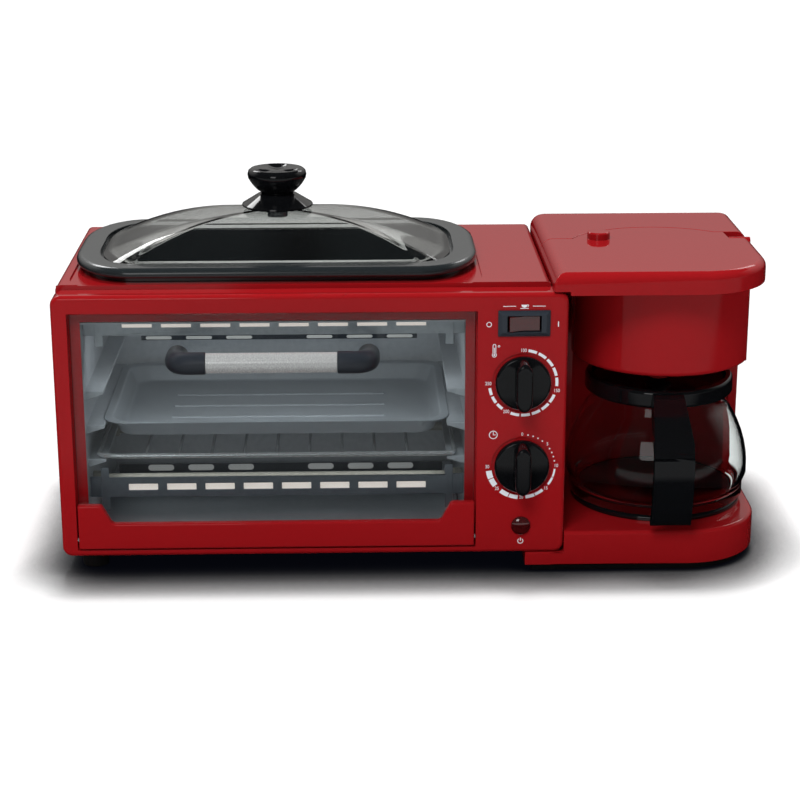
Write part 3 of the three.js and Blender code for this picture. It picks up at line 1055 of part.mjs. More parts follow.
// Brew head that swings out: front cap with its stub, drum, filter basket, drip valve and pin
function buildBrewHead() {
  const slab = capSlab().intersect(seamCutter(0))
  const frameClear = box(-FRAME_W / 2, FRAME_W / 2 + RUN, CAP_FRONT - OVERRUN, SEAM_LEFT_Y,
    0, FRAME_H + FIT * 2)
  const casingClear = box(-FRAME_W / 2, coffeeLeft, 0, CASE_BACK, 0, CASE_TOP + FIT)
  const under = cylinder('Z', DRUM_R - DRUM_WALL * 2, CAP_BOTTOM - OVERRUN, CAP_TOP - CAP_ROOF,
    [COFFEE_X, COFFEE_Y], 36)
  const stub = cylinder('Z', STUB_R, CAP_TOP - MOULDED, CAP_TOP + STUB_H, [STUB_X, STUB_Y], 24)
  const pinHole = cylinder('Z', PIN_R + FIT, DRUM_BOTTOM, CAP_TOP + OVERRUN, [PIN_X, PIN_Y], 16)
  const underFree = under.intersect(box(PIN_X - BULGE_R * 2, PIN_X - PIN_R * 4, 0, CASE_BACK, 0, CAP_TOP))
  const notch = prism('Z', polygon([
    [PIN_X - NOTCH_LEFT, SEAM_RIGHT_Y + OVERRUN], [PIN_X - NOTCH_LEFT * 0.85, PIN_Y - NOTCH_FRONT],
    [COFFEE_RIGHT + OVERRUN, PIN_Y - NOTCH_FRONT], [COFFEE_RIGHT + OVERRUN, SEAM_RIGHT_Y + OVERRUN]
  ]), CAP_TOP - NOTCH_DEPTH, CAP_TOP + OVERRUN)
  piece('brew_cover', cut(join(cut(slab, frameClear, casingClear, underFree), stub), notch, pinHole), 'red')

  const drumTop = CAP_BOTTOM - FIT
  const drumBody = cylinder('Z', DRUM_R, DRUM_BOTTOM, drumTop, [COFFEE_X, COFFEE_Y], 48)
  const drumHollow = cylinder('Z', DRUM_R - DRUM_WALL, DRUM_BOTTOM + DRUM_FLOOR, drumTop + OVERRUN,
    [COFFEE_X, COFFEE_Y], 48)
  const spoutNotch = box(COFFEE_X - SPOUT_R * 2, COFFEE_X + SPOUT_R * 5, COFFEE_Y + BASKET_TOP_R, CASE_BACK,
    SPOUT_Z - SPOUT_R - RUN, drumTop + OVERRUN)
  const outlet = cylinder('Z', DRUM_OUTLET_R, DRUM_BOTTOM - OVERRUN, DRUM_BOTTOM + OVERRUN,
    [COFFEE_X, COFFEE_Y], 32)
  const knuckle = cylinder('Z', PIN_R + DRUM_WALL, DRUM_BOTTOM, drumTop, [PIN_X, PIN_Y], 16)
  piece('brew_drum', cut(join(cut(drumBody, drumHollow, outlet, spoutNotch), knuckle), pinHole), 'red')
  const barrelZ = CAP_TOP - BARREL_R
  piece('brew_hinge_pin', join(
    cylinder('Z', PIN_R, DRUM_BOTTOM - PIN_EAR_H + MOULDED, barrelZ, [PIN_X, PIN_Y], 16),
    cylinder('X', BARREL_R, PIN_X - BARREL_LEFT, PIN_X + BARREL_RIGHT, [PIN_Y, barrelZ], 20)), 'red')

  const basketFoot = DRUM_BOTTOM + DRUM_FLOOR + FIT
  piece('filter_basket', turned('Z', [
    [BASKET_OUTLET_R, basketFoot], [BASKET_FOOT_R, basketFoot], [BASKET_TOP_R, BASKET_TOP],
    [BASKET_TOP_R + BASKET_WALL, BASKET_TOP], [BASKET_TOP_R + BASKET_WALL, BASKET_TOP + BASKET_WALL],
    [BASKET_TOP_R - BASKET_WALL, BASKET_TOP + BASKET_WALL],
    [BASKET_FOOT_R - BASKET_WALL, basketFoot + BASKET_WALL],
    [BASKET_OUTLET_R, basketFoot + BASKET_WALL], [BASKET_OUTLET_R, basketFoot]
  ], [COFFEE_X, COFFEE_Y], 24), 'blackMatte')
  const headTop = basketFoot - FIT * 2
  const valveFoot = DRUM_BOTTOM - VALVE_BELOW
  const capZ = basketFoot + BASKET_WALL + VALVE_TRAVEL
  piece('drip_valve', turned('Z', [
    [0, valveFoot], [VALVE_HEAD_R, valveFoot], [VALVE_HEAD_R, valveFoot + VALVE_HEAD_H / 2],
    [VALVE_R, valveFoot + VALVE_HEAD_H], [VALVE_R, capZ], [0, capZ]
  ], [COFFEE_X, COFFEE_Y], 20), 'blackMatte')
  const spring = []
  const springFoot = valveFoot + VALVE_HEAD_H + SPRING_WIRE + FIT
  const springR = VALVE_R + FIT + SPRING_WIRE * 2
  const springTop = headTop - SPRING_WIRE - FIT
  const steps = SPRING_TURNS * 8
  for (let i = 0; i <= steps; i++) {
    const angle = i / 8 * Math.PI * 2
    spring.push([COFFEE_X + springR * Math.cos(angle), COFFEE_Y + springR * Math.sin(angle),
      springFoot + (springTop - springFoot) * i / steps])
  }
  piece('valve_spring', tube(spring, SPRING_WIRE, 2, steps), 'wire')
}

// Carafe: glass, collar, lid and strap handle
function buildCarafe() {
  const place = [COFFEE_X, COFFEE_Y]
  const bandTop = carafeFloor + BAND_H
  const bellyZ = carafeFloor + BELLY_RISE
  const bellyShares = [0.25, 0.5, 0.75, 1]
  const profile = (inset) => [
    [BAND_R - inset, carafeFloor], [BAND_R - inset, bandTop], [BELLY_R - inset, bellyZ],
    ...bellyShares.map((share) => [
      NECK_R - inset + (BELLY_R - NECK_R) * (1 - share ** 2), bellyZ + (NECK_Z - bellyZ) * share
    ])
  ]
  const lipTop = COLLAR_Z + COLLAR_H / 2
  const outside = [...profile(0), [NECK_R, lipTop]]
  const inside = [
    [BAND_R - CARAFE_WALL * 2, carafeFloor + CARAFE_WALL], ...profile(CARAFE_WALL).slice(1),
    [NECK_R - CARAFE_WALL, lipTop]
  ]
  piece('carafe_glass', turned('Z', [
    [0, carafeFloor], ...outside, ...inside.reverse(), [0, carafeFloor + CARAFE_WALL]
  ], place, 32), 'clearGlass')

  const collarIn = NECK_R + FIT
  const collarTop = COLLAR_Z + COLLAR_H
  piece('carafe_collar', turned('Z', [
    [collarIn, COLLAR_Z], [COLLAR_R - RUN, COLLAR_Z], [COLLAR_R, COLLAR_Z + RUN], [COLLAR_R, collarTop - RUN],
    [COLLAR_R - RUN, collarTop], [collarIn, collarTop], [collarIn, COLLAR_Z]
  ], place, 32), 'blackGloss')
  const lidFoot = lipTop + FIT
  const lidR = collarIn - FIT
  piece('carafe_lid', turned('Z', [
    [CARAFE_LID_HOLE_R, lidFoot], [lidR, lidFoot], [lidR, lidFoot + LID_DISH],
    [lidR - LID_DISH, lidFoot + LID_DISH], [lidR - LID_DISH * 2, lidFoot + CARAFE_LID_T],
    [CARAFE_LID_HOLE_R, lidFoot + CARAFE_LID_T * 0.8], [CARAFE_LID_HOLE_R, lidFoot]
  ], place, 32), 'blackGloss')

  const strapX = COFFEE_X + STRAP_SHIFT_X
  const innerY = COFFEE_Y - BELLY_R - STRAP_REACH + OVERRUN * 2
  const topZ = collarTop - RUN
  const rootY = COFFEE_Y - COLLAR_R - FIT
  // Backwards from a place and up from a height, both in thicknesses of the strap
  const strapPoints = (y, z, shares) => shares.map(([back, up]) => [y + STRAP_T * back, z + STRAP_T * up])
  const rootShares = [[0, 0], [-1, 0]]
  const kneeShares = [[-0.4, -4.2], [-1, -6.6]]
  const footShares = [[-0.7, 3], [0.4, 0], [1.4, 0], [0.3, 3]]
  const innerKneeShares = [[0, -6.4], [0.5, -4.4]]
  const innerRootShares = [[-0.6, -1.6], [0, -1.4]]
  const strap = prism('X', polygon([
    ...strapPoints(rootY, topZ, rootShares), ...strapPoints(innerY, topZ, kneeShares),
    ...strapPoints(innerY, STRAP_FOOT_Z, footShares), ...strapPoints(innerY, topZ, innerKneeShares),
    ...strapPoints(rootY, topZ, innerRootShares)
  ]), strapX - STRAP_W / 2, strapX + STRAP_W / 2)
  const shoulderShare = 4 // drop to the full width, in thicknesses of the strap
  const shoulderZ = topZ - STRAP_T * shoulderShare
  const taper = polygon([
    [strapX - STRAP_W / 2, STRAP_FOOT_Z - OVERRUN], [strapX + STRAP_W / 2, STRAP_FOOT_Z - OVERRUN],
    [strapX + STRAP_W / 2, shoulderZ], [strapX + STRAP_TOP_W / 2, topZ + OVERRUN],
    [strapX - STRAP_TOP_W / 2, topZ + OVERRUN], [strapX - STRAP_W / 2, shoulderZ]
  ])
  const strapBody = strap.intersect(prism('Y', taper, innerY - STRAP_T * 2, rootY + STRAP_T))
  const collarClear = cylinder('Z', COLLAR_R + FIT * 2, COLLAR_Z - COLLAR_H, collarTop + OVERRUN, place, 32)
  piece('carafe_handle', cut(strapBody, collarClear), 'blackGloss')
}

buildCasing()
buildFrontFrame()
buildCavity()
buildDoor()
buildShelves()
buildGriddle()
buildControls()
buildCoffeeBody()
buildTankLid()
buildBrewHead()
buildCarafe()

// The origin is the middle of the footprint, on the surface that the object stands on
const bounds = new THREE.Box3().setFromObject(group)
const middle = bounds.getCenter(new THREE.Vector3())
group.position.set(-middle.x, -middle.y, -bounds.min.z)
group.updateMatrixWorld(true)

export default group
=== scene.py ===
# %% [markdown]
# A red three-in-one breakfast maker: a toaster oven with a griddle pan on its roof and a drip coffee
# maker at its right. The CAD solids are loaded first and stay where they are. Each cell after that gives
# them a finish, or models a finer piece in the place of a solid whose reflections need rounder edges.

# %% Load the solids
import json
import math

import bmesh
import bpy
from mathutils import Matrix, Vector


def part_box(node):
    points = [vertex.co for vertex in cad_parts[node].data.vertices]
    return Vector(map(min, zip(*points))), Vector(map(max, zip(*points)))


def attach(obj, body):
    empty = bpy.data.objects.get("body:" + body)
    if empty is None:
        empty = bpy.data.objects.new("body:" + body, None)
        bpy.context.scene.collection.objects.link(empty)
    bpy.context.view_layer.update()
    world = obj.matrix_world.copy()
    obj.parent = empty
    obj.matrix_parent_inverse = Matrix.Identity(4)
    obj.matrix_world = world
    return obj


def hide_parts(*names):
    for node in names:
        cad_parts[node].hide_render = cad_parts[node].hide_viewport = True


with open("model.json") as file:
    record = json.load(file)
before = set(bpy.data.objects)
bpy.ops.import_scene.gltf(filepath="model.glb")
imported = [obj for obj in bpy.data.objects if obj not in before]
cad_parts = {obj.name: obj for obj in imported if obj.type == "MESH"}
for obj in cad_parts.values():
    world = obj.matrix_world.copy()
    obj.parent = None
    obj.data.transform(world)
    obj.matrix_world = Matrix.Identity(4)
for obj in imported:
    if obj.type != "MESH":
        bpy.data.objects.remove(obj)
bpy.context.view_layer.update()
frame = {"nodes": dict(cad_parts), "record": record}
nodes = frame["nodes"]
bpy.ops.object.select_all(action="DESELECT")

# %% [markdown]
# Sizes are written in millimetres from one point that is easy to find on the real machine: the middle of
# the lower edge of its red front frame. X runs to the right, Y away from us and Z up.

# %% The point that all sizes start from
MM = 0.001
frame_low, frame_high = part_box("front_frame")
START = Vector(((frame_low.x + frame_high.x) / 2, frame_low.y, frame_low.z))


def at(x, y, z):
    """A place in millimetres from the start point, as Blender's metres."""
    return START + Vector((x, y, z)) * MM


def span(node):
    """The lowest and highest corner of a solid, in millimetres from the start point."""
    low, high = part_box(node)
    return (low - START) / MM, (high - START) / MM


print("start point:", tuple(round(v, 4) for v in START))

# %% [markdown]
# The photograph was taken with a long lens from a little above. A camera could be set by eye, but then
# every edge would lie a little off. So its place and lens were solved from the straight edges of the front
# frame: it stands 1.26 m away, looks 17.5 degrees down and turns slightly to the right.

# %% Camera
SENSOR_W = 36
FOCAL_PIXELS = 1995
PICTURE_PIXELS = 800
CAMERA_AT = (26.8, -1264.2, 507.9)
YAW, PITCH, ROLL = 1.45, 17.48, -0.07

bpy.ops.object.camera_add(location=at(*CAMERA_AT))
camera = bpy.context.object
camera.name = "studio_camera"
camera.data.sensor_width = SENSOR_W
camera.data.lens = SENSOR_W * FOCAL_PIXELS / PICTURE_PIXELS
camera.rotation_euler = (
    Matrix.Rotation(math.radians(-YAW), 3, "Z")
    @ Matrix.Rotation(math.radians(90 - PITCH), 3, "X")
    @ Matrix.Rotation(math.radians(ROLL), 3, "Z")
).to_euler()
bpy.context.scene.camera = camera
bpy.context.scene.view_settings.view_transform = "Standard"
print("lens:", round(camera.data.lens, 2), "mm")

# %% [markdown]
# A material is a small tree of nodes. One function adds a node, sets its sockets and links them, so that
# each finish below can be read as a list of its layers. Colours are written as web colours, and one
# function turns them to the linear values that Blender works in.

# %% Helpers for materials


def colour(code):
    """A web colour such as #8c1518 as linear red, green, blue and an alpha of 1."""
    channels = [int(code[i:i + 2], 16) / 255 for i in (1, 3, 5)]
    return (*[c / 12.92 if c <= 0.04045 else ((c + 0.055) / 1.055) ** 2.4 for c in channels], 1)


def add(material, kind, settings=None, links=None):
    """Adds a node, sets its properties and sockets, and links its sockets to other nodes' outputs."""
    node = material.node_tree.nodes.new(kind)
    for key, value in (settings or {}).items():
        if isinstance(key, int) or key in node.inputs:
            node.inputs[key].default_value = value
        else:
            setattr(node, key, value)
    for key, source in (links or {}).items():
        material.node_tree.links.new(source, node.inputs[key])
    return node


print("a web colour in linear light:", [round(v, 3) for v in colour("#8c1518")])


def finish(name, surface, noise=None, bump=None, grain_mm=2.0, depth_mm=0.02):
    """A material from settings of the Principled shader. noise names sockets that vary between two values
    over the surface. The grain is as wide as grain_mm, and bump is the share of its depth that shows."""
    material = bpy.data.materials.new(name)
    material.use_nodes = True
    tree = material.node_tree
    shader = tree.nodes["Principled BSDF"]
    for key, value in surface.items():
        shader.inputs[key].default_value = value
    place = add(material, "ShaderNodeTexCoord")
    scale = 1 / (grain_mm * MM)
    grain = add(material, "ShaderNodeTexNoise", {"Scale": scale, "Detail": 3.0},
                {"Vector": place.outputs["Object"]})
    for key, (low, high) in (noise or {}).items():
        if isinstance(low, tuple):
            mix = add(material, "ShaderNodeMix", {"data_type": "RGBA", 6: low, 7: high},
                      {0: grain.outputs["Fac"]})
            tree.links.new(mix.outputs[2], shader.inputs[key])
        else:
            varied = add(material, "ShaderNodeMapRange", {"To Min": low, "To Max": high},
                         {"Value": grain.outputs["Fac"]})
            tree.links.new(varied.outputs["Result"], shader.inputs[key])
    if bump:
        relief = add(material, "ShaderNodeBump", {"Strength": bump, "Distance": depth_mm * MM},
                     {"Height": grain.outputs["Fac"]})
        tree.links.new(relief.outputs["Normal"], shader.inputs["Normal"])
    return material


# %% [markdown]
# The finishes of the machine. Each starts from what the real material is: gloss ABS for the front and the
# coffee maker, enamelled sheet for the casing, aluminised sheet in the oven, a black ceramic coating on
# the griddle pan, and tinted glass for its lid. A flat colour would do from afar, but a real surface is
# never quite even, so each has a faint grain in its gloss, at the size that the real one has.

# %% Paints and plastics
finishes = {
    # gloss ABS, injection moulded: a soft orange peel and a clear, even reflection
    "gloss_red": finish("moulded_gloss_red_abs",
                        {"Base Color": colour("#941419"), "Roughness": 0.08, "IOR": 1.38},
                        {"Base Color": (colour("#941419"), colour("#8e1317")), "Roughness": (0.05, 0.09)},
                        bump=0.25, grain_mm=3.0, depth_mm=0.012),
    # enamelled steel sheet: as glossy, with a slightly longer wave
    "red_enamel": finish("enamelled_steel_red",
                         {"Base Color": colour("#941419"), "Roughness": 0.08, "IOR": 1.38},
                         {"Base Color": (colour("#941419"), colour("#8e1318")), "Roughness": (0.05, 0.1)},
                         bump=0.25, grain_mm=5.0, depth_mm=0.015),
    # gloss phenolic of the knobs: deep black that mirrors the room sharply
    "black_gloss": finish("gloss_black_phenolic",
                          {"Base Color": colour("#0b0c0e"), "Roughness": 0.08, "IOR": 1.5},
                          {"Roughness": (0.05, 0.11)}, bump=0.2, grain_mm=2.5, depth_mm=0.008),
    # grained ABS: a fine leather grain scatters the light to a dull grey
    "black_matte": finish("grained_black_abs",
                          {"Base Color": colour("#141416"), "Roughness": 0.45, "IOR": 1.5},
                          {"Roughness": (0.38, 0.55)}, bump=0.5, grain_mm=0.8, depth_mm=0.03),
    # soft-touch coat over plastic: dark blue-grey with a broad dull gloss
    "soft_touch_grey": finish("soft_touch_blue_grey",
                              {"Base Color": colour("#23272e"), "Roughness": 0.42, "IOR": 1.5},
                              {"Base Color": (colour("#21252b"), colour("#282d34")),
                               "Roughness": (0.36, 0.46)}, bump=0.3, grain_mm=0.9, depth_mm=0.02),
    # moulded rubber feet and gland: no gleam at all
    "black_rubber": finish("moulded_black_rubber",
                           {"Base Color": colour("#111112"), "Roughness": 0.8, "IOR": 1.5},
                           {"Roughness": (0.7, 0.9)}, bump=0.6, grain_mm=0.9, depth_mm=0.04),
    # translucent silicone tube: milky, with light inside
    "silicone": finish("milky_silicone",
                       {"Base Color": colour("#c9c8c0"), "Roughness": 0.4, "IOR": 1.41,
                        "Subsurface Weight": 0.3},
                       {"Roughness": (0.35, 0.5)}, bump=0.3, grain_mm=1.2, depth_mm=0.02),
}
print("paints and plastics:", len(finishes))

# %% [markdown]
# Sheet, wire and castings. A full metal shows nothing but the room, and this room is mostly dark, so most
# of them keep a share of plain colour. That share was set by comparing the render with the photograph.

# %% Metals
finishes.update({
    # aluminised sheet of the oven walls: soft grey with a faint spangle
    "cavity_steel": finish("aluminised_steel_sheet",
                           {"Base Color": colour("#b4b9bf"), "Roughness": 0.36, "Metallic": 0.45},
                           {"Base Color": (colour("#a2a8af"), colour("#c2c6cc")),
                            "Roughness": (0.28, 0.45)}, bump=0.3, grain_mm=4.0, depth_mm=0.02),
    # zinc-plated sheet under the oven and on the controls: a cool, clouded metal
    "zinc_plate": finish("zinc_plated_sheet",
                         {"Base Color": colour("#85888b"), "Roughness": 0.42, "Metallic": 0.9},
                         {"Base Color": (colour("#7b7e82"), colour("#93979a")),
                          "Roughness": (0.34, 0.5)}, bump=0.3, grain_mm=6.0, depth_mm=0.02),
    # die-cast aluminium of the flow heater: a dull, slightly pitted skin
    "cast_aluminium": finish("die_cast_aluminium",
                             {"Base Color": colour("#8d9092"), "Roughness": 0.5, "Metallic": 0.9},
                             {"Roughness": (0.4, 0.6)}, bump=0.5, grain_mm=1.0, depth_mm=0.04),
    # chromed rod and wire: bright, and softened by a little wear
    "bright_steel": finish("chromed_steel",
                           {"Base Color": colour("#d3d5d8"), "Roughness": 0.2, "Metallic": 0.75},
                           {"Roughness": (0.14, 0.26)}, bump=0.2, grain_mm=1.5, depth_mm=0.01),
    # non-stick coat of the tray: a metal flake under it gives a soft blue-grey sheen
    "dark_coated_steel": finish("dark_nonstick_coated_steel",
                                {"Base Color": colour("#9fa4ab"), "Roughness": 0.34, "Metallic": 0.5},
                                {"Base Color": (colour("#949aa1"), colour("#aab0b7")),
                                 "Roughness": (0.3, 0.44)}, bump=0.4, grain_mm=0.9, depth_mm=0.02),
    # black ceramic coating of the griddle pan: near black, with a broad even gleam
    "griddle_coating": finish("black_ceramic_coating",
                              {"Base Color": colour("#1d2224"), "Roughness": 0.2, "Coat Weight": 0.4,
                               "Coat Roughness": 0.1},
                              {"Base Color": (colour("#1b1f21"), colour("#22282a")),
                               "Roughness": (0.18, 0.3)}, bump=0.3, grain_mm=0.8, depth_mm=0.012),
    # oxidised sheath of the heating rods: a dull, warm grey in lighter and darker patches
    "heater_tube": finish("oxidised_heater_sheath",
                          {"Base Color": colour("#8f8d86"), "Roughness": 0.55, "Metallic": 0.3},
                          {"Base Color": (colour("#7d7b74"), colour("#a3a199")),
                           "Roughness": (0.5, 0.7)}, bump=0.4, grain_mm=3.0, depth_mm=0.03),
})
print("metals:", len(finishes))

# %% [markdown]
# Clear parts. Real glass alone would keep the lamps' light from what stands behind it, because light that
# is bent is seldom found by chance. So it bends what the eye sees, and lets the lamps' light straight in.

# %% Glass and lenses
finishes.update({
    # borosilicate glass of the carafe: quite clear, and dark only along its edges
    "clear_glass": finish("clear_borosilicate_glass",
                          {"Base Color": colour("#f4f8f7"), "Roughness": 0.0, "IOR": 1.45,
                           "Transmission Weight": 1.0},
                          {"Roughness": (0.0, 0.015)}),
    # polycarbonate of the water tank: clear, but slightly hazy
    "tank_plastic": finish("clear_polycarbonate_tank",
                           {"Base Color": colour("#dfe6e6"), "Roughness": 0.15, "IOR": 1.45,
                            "Transmission Weight": 0.9},
                           {"Roughness": (0.1, 0.2)}),
    # tinted acrylic of the lamp and the rocker: almost black until light strikes it
    "red_lens": finish("deep_red_lens",
                       {"Base Color": colour("#3c0709"), "Roughness": 0.07, "IOR": 1.9,
                        "Coat Weight": 1.0, "Coat IOR": 1.8},
                       {"Base Color": (colour("#360608"), colour("#470a0c")), "Roughness": (0.05, 0.1)},
                       bump=0.1, grain_mm=1.5, depth_mm=0.01),
})


def let_light_through(material, code, seen=None):
    """Lamps and soft light pass a pane as if it were only tinted, which keeps what is behind it bright."""
    tree = material.node_tree
    seen = seen or tree.nodes["Principled BSDF"]
    rays = add(material, "ShaderNodeLightPath")
    indirect = add(material, "ShaderNodeMath", {"operation": "MAXIMUM"},
                   {0: rays.outputs["Is Shadow Ray"], 1: rays.outputs["Is Diffuse Ray"]})
    clear = add(material, "ShaderNodeBsdfTransparent", {"Color": colour(code)})
    either = add(material, "ShaderNodeMixShader", {},
                 {0: indirect.outputs[0], 1: seen.outputs[0], 2: clear.outputs[0]})
    tree.links.new(either.outputs[0], tree.nodes["Material Output"].inputs["Surface"])


# tempered glass of the griddle lid: its grey tint shows where four faces lie one behind the other
finishes["smoked_glass"] = finish("smoked_tempered_glass",
                                  {"Base Color": colour("#dcdedc"), "Roughness": 0.02, "IOR": 1.55,
                                   "Transmission Weight": 1.0},
                                  {"Roughness": (0.0, 0.03)})
let_light_through(finishes["clear_glass"], "#f2f4f4")
let_light_through(finishes["tank_plastic"], "#e4e8e8")
let_light_through(finishes["smoked_glass"], "#e4e6e8")
print("with glass and lenses:", len(finishes))

# %% [markdown]
# The door's pane is flat, even float glass, toughened. It could be real glass like the carafe, but a flat
# pane bends nothing that shows, and a plain view through it renders with far less noise. So each face is a
# hardly tinted view, with a clear gleam over it that grows towards the edges as on the real pane.

# %% Glass of the door's pane
door_pane_glass = finish("clear_tempered_glass",
                         {"Base Color": colour("#f2f4f4"), "Roughness": 0.02, "Metallic": 1.0},
                         {"Roughness": (0.0, 0.03)}, grain_mm=9)
view = add(door_pane_glass, "ShaderNodeBsdfTransparent", {"Color": colour("#f6f9f9")})
gleam = add(door_pane_glass, "ShaderNodeFresnel", {"IOR": 1.5})
mirror_coat = door_pane_glass.node_tree.nodes["Principled BSDF"]
pane = add(door_pane_glass, "ShaderNodeMixShader", {},
           {0: gleam.outputs[0], 1: view.outputs[0], 2: mirror_coat.outputs[0]})
let_light_through(door_pane_glass, "#f2f4f4", pane)
print("finishes:", len(finishes))

# %% [markdown]
# The record says which slot each solid takes its finish from, so every solid gets its material here, and a
# piece that later replaces a solid takes the same slot.

# %% Give each solid its finish
slot_of = {entry["node"]: entry["material_slot"] for entry in frame["record"]["subparts"]}


def dress(piece, slot):
    """Puts the finish of a material slot on a piece."""
    piece.data.materials.clear()
    piece.data.materials.append(finishes[slot])


for name, solid in nodes.items():
    if name in slot_of:
        dress(solid, slot_of[name])
print("solids dressed:", len(slot_of), "of", len(nodes))

# %% [markdown]
# Modelling helpers. A new piece starts as one of Blender's primitives. Everything is deselected first,
# because an operator acts on all that is selected. A cutter stands a little out of what it cuts, so that
# the cut leaves no skin behind.

# %% Helpers for modelling
# how far a cutter stands out of what it cuts, in millimetres
PAST = 5


def take(piece):
    """Makes a piece the only one that is selected, and the active one."""
    bpy.ops.object.select_all(action="DESELECT")
    piece.select_set(True)
    bpy.context.view_layer.objects.active = piece
    return piece


def block(name, low, high):
    """A cube primitive given its size and place, with both applied."""
    low, high = Vector(low), Vector(high)
    bpy.ops.object.select_all(action="DESELECT")
    bpy.ops.mesh.primitive_cube_add(size=1, location=at(*(low + high) / 2), scale=(high - low) * MM)
    piece = bpy.context.object
    piece.name = name
    bpy.ops.object.transform_apply(location=True, rotation=True, scale=True)
    return piece


def rod(name, axis, radius, low, high, sides=48):
    """A cylinder primitive along X, Y or Z between two places."""
    low, high = Vector(low), Vector(high)
    turn = {"X": (0, math.pi / 2, 0), "Y": (math.pi / 2, 0, 0), "Z": (0, 0, 0)}[axis]
    bpy.ops.object.select_all(action="DESELECT")
    bpy.ops.mesh.primitive_cylinder_add(vertices=sides, radius=radius * MM, depth=(high - low).length * MM,
                                        location=at(*(low + high) / 2), rotation=turn)
    piece = bpy.context.object
    piece.name = name
    bpy.ops.object.transform_apply(location=True, rotation=True, scale=True)
    return piece


def modify(piece, kind, **settings):
    """Adds a modifier to a piece and applies it."""
    take(piece)
    modifier = piece.modifiers.new(kind.lower(), kind)
    for key, value in settings.items():
        setattr(modifier, key, value)
    bpy.ops.object.modifier_apply(modifier=modifier.name)
    return piece


def carve(piece, cutter, operation="DIFFERENCE"):
    """Cuts, joins or intersects a piece with another, which is then deleted."""
    modify(piece, "BOOLEAN", object=cutter, operation=operation, solver="EXACT")
    bpy.data.objects.remove(cutter)
    return piece


def round_edges(piece, width_mm, segments=3, angle=35):
    """Rounds every edge that turns by more than an angle."""
    return modify(piece, "BEVEL", width=width_mm * MM, segments=segments, limit_method="ANGLE",
                  angle_limit=math.radians(angle), use_clamp_overlap=True)


def fit(piece, body, slot, *replaced, smooth=38):
    """Shades a finished piece, dresses it, and lets it ride on a body in the place of CAD solids."""
    take(piece)
    bpy.ops.object.shade_smooth_by_angle(angle=math.radians(smooth))
    if "glass" not in slot:
        modify(piece, "WEIGHTED_NORMAL", keep_sharp=True, weight=50)
    piece.data.name = piece.name
    dress(piece, slot)
    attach(piece, body)
    if replaced:
        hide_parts(*replaced)
    print(piece.name, "faces:", len(piece.data.polygons))
    return piece


# %% [markdown]
# Turned pieces such as knobs, the drum and the carafe are made as on a lathe: one vertex is drawn out
# along half of the profile, and that line is spun round the axis. Where a corner of a profile has a third
# number, it is rounded from that many millimetres before it to as many after it.

# %% A lathe


def arc(before, corner, after, steps):
    """Points of a quarter of an ellipse that leaves one line and meets the next."""
    turns = [math.pi / 2 * i / steps for i in range(steps + 1)]
    return [corner + (before - corner) * (1 - math.sin(a)) + (after - corner) * (1 - math.cos(a))
            for a in turns]


def rounded(corners, steps=6, closed=False):
    """Flat points from corners of (across, up) or (across, up, reach), with the latter rounded. A reach
    may be two numbers: towards the corner before and towards the corner after."""
    points = []
    for k, (across, up, *reach) in enumerate(corners):
        corner = Vector((across, up))
        if not reach:
            points.append(corner)
            continue
        back, on = reach[0] if isinstance(reach[0], tuple) else (reach[0], reach[0])
        before = Vector(corners[k - 1][:2]) - corner
        after = Vector(corners[(k + 1) % len(corners)][:2]) - corner
        points += arc(corner + before.normalized() * back, corner, corner + after.normalized() * on, steps)
    return points


def turned(name, profile, centre, axis="Z", steps=96):
    """Spins a profile of (radius, height) round an upright axis, or round one that points to us."""
    up = Vector((0, 0, 1)) if axis == "Z" else Vector((0, -1, 0))
    origin = at(*centre)
    places = [origin + (Vector((1, 0, 0)) * p.x + up * p.y) * MM for p in rounded(profile)]
    bpy.ops.object.select_all(action="DESELECT")
    bpy.ops.mesh.primitive_plane_add(size=MM)
    piece = bpy.context.object
    piece.name = name
    bpy.ops.object.mode_set(mode="EDIT")
    bpy.ops.mesh.select_mode(type="VERT")
    bpy.ops.mesh.select_all(action="SELECT")
    bpy.ops.mesh.merge(type="CENTER")
    bpy.ops.transform.translate(value=places[0])
    for here, there in zip(places, places[1:]):
        bpy.ops.mesh.extrude_region_move(TRANSFORM_OT_translate={"value": there - here})
    bpy.ops.mesh.select_all(action="SELECT")
    bpy.ops.mesh.spin(steps=steps, angle=math.tau, center=origin, axis=up)
    bpy.ops.mesh.select_all(action="SELECT")
    bpy.ops.mesh.remove_doubles(threshold=0.004 * MM)
    bpy.ops.mesh.normals_make_consistent(inside=False)
    bpy.ops.object.mode_set(mode="OBJECT")
    return piece


print("points along a rounded corner:", len(rounded([(0, 0), (1, 0, 0.5), (1, 1)])))

# %% [markdown]
# Pressed and moulded pieces could be cubes with bevels, but a bevel can't make a corner that changes its
# radius from ring to ring. So they are drawn out ring by ring: a circle of vertices is extruded again and
# again, and each new ring is laid in its place. Every vertex remembers its number in the ring, so that the
# rings don't twist.

# %% Ring by ring


def lay(piece, ring):
    """In edit mode, moves the selected ring of vertices to its places."""
    mesh = bmesh.from_edit_mesh(piece.data)
    number = mesh.verts.layers.int["number"]
    for vertex in mesh.verts:
        if vertex.select:
            vertex.co = at(*ring[vertex[number]])
    bmesh.update_edit_mesh(piece.data)


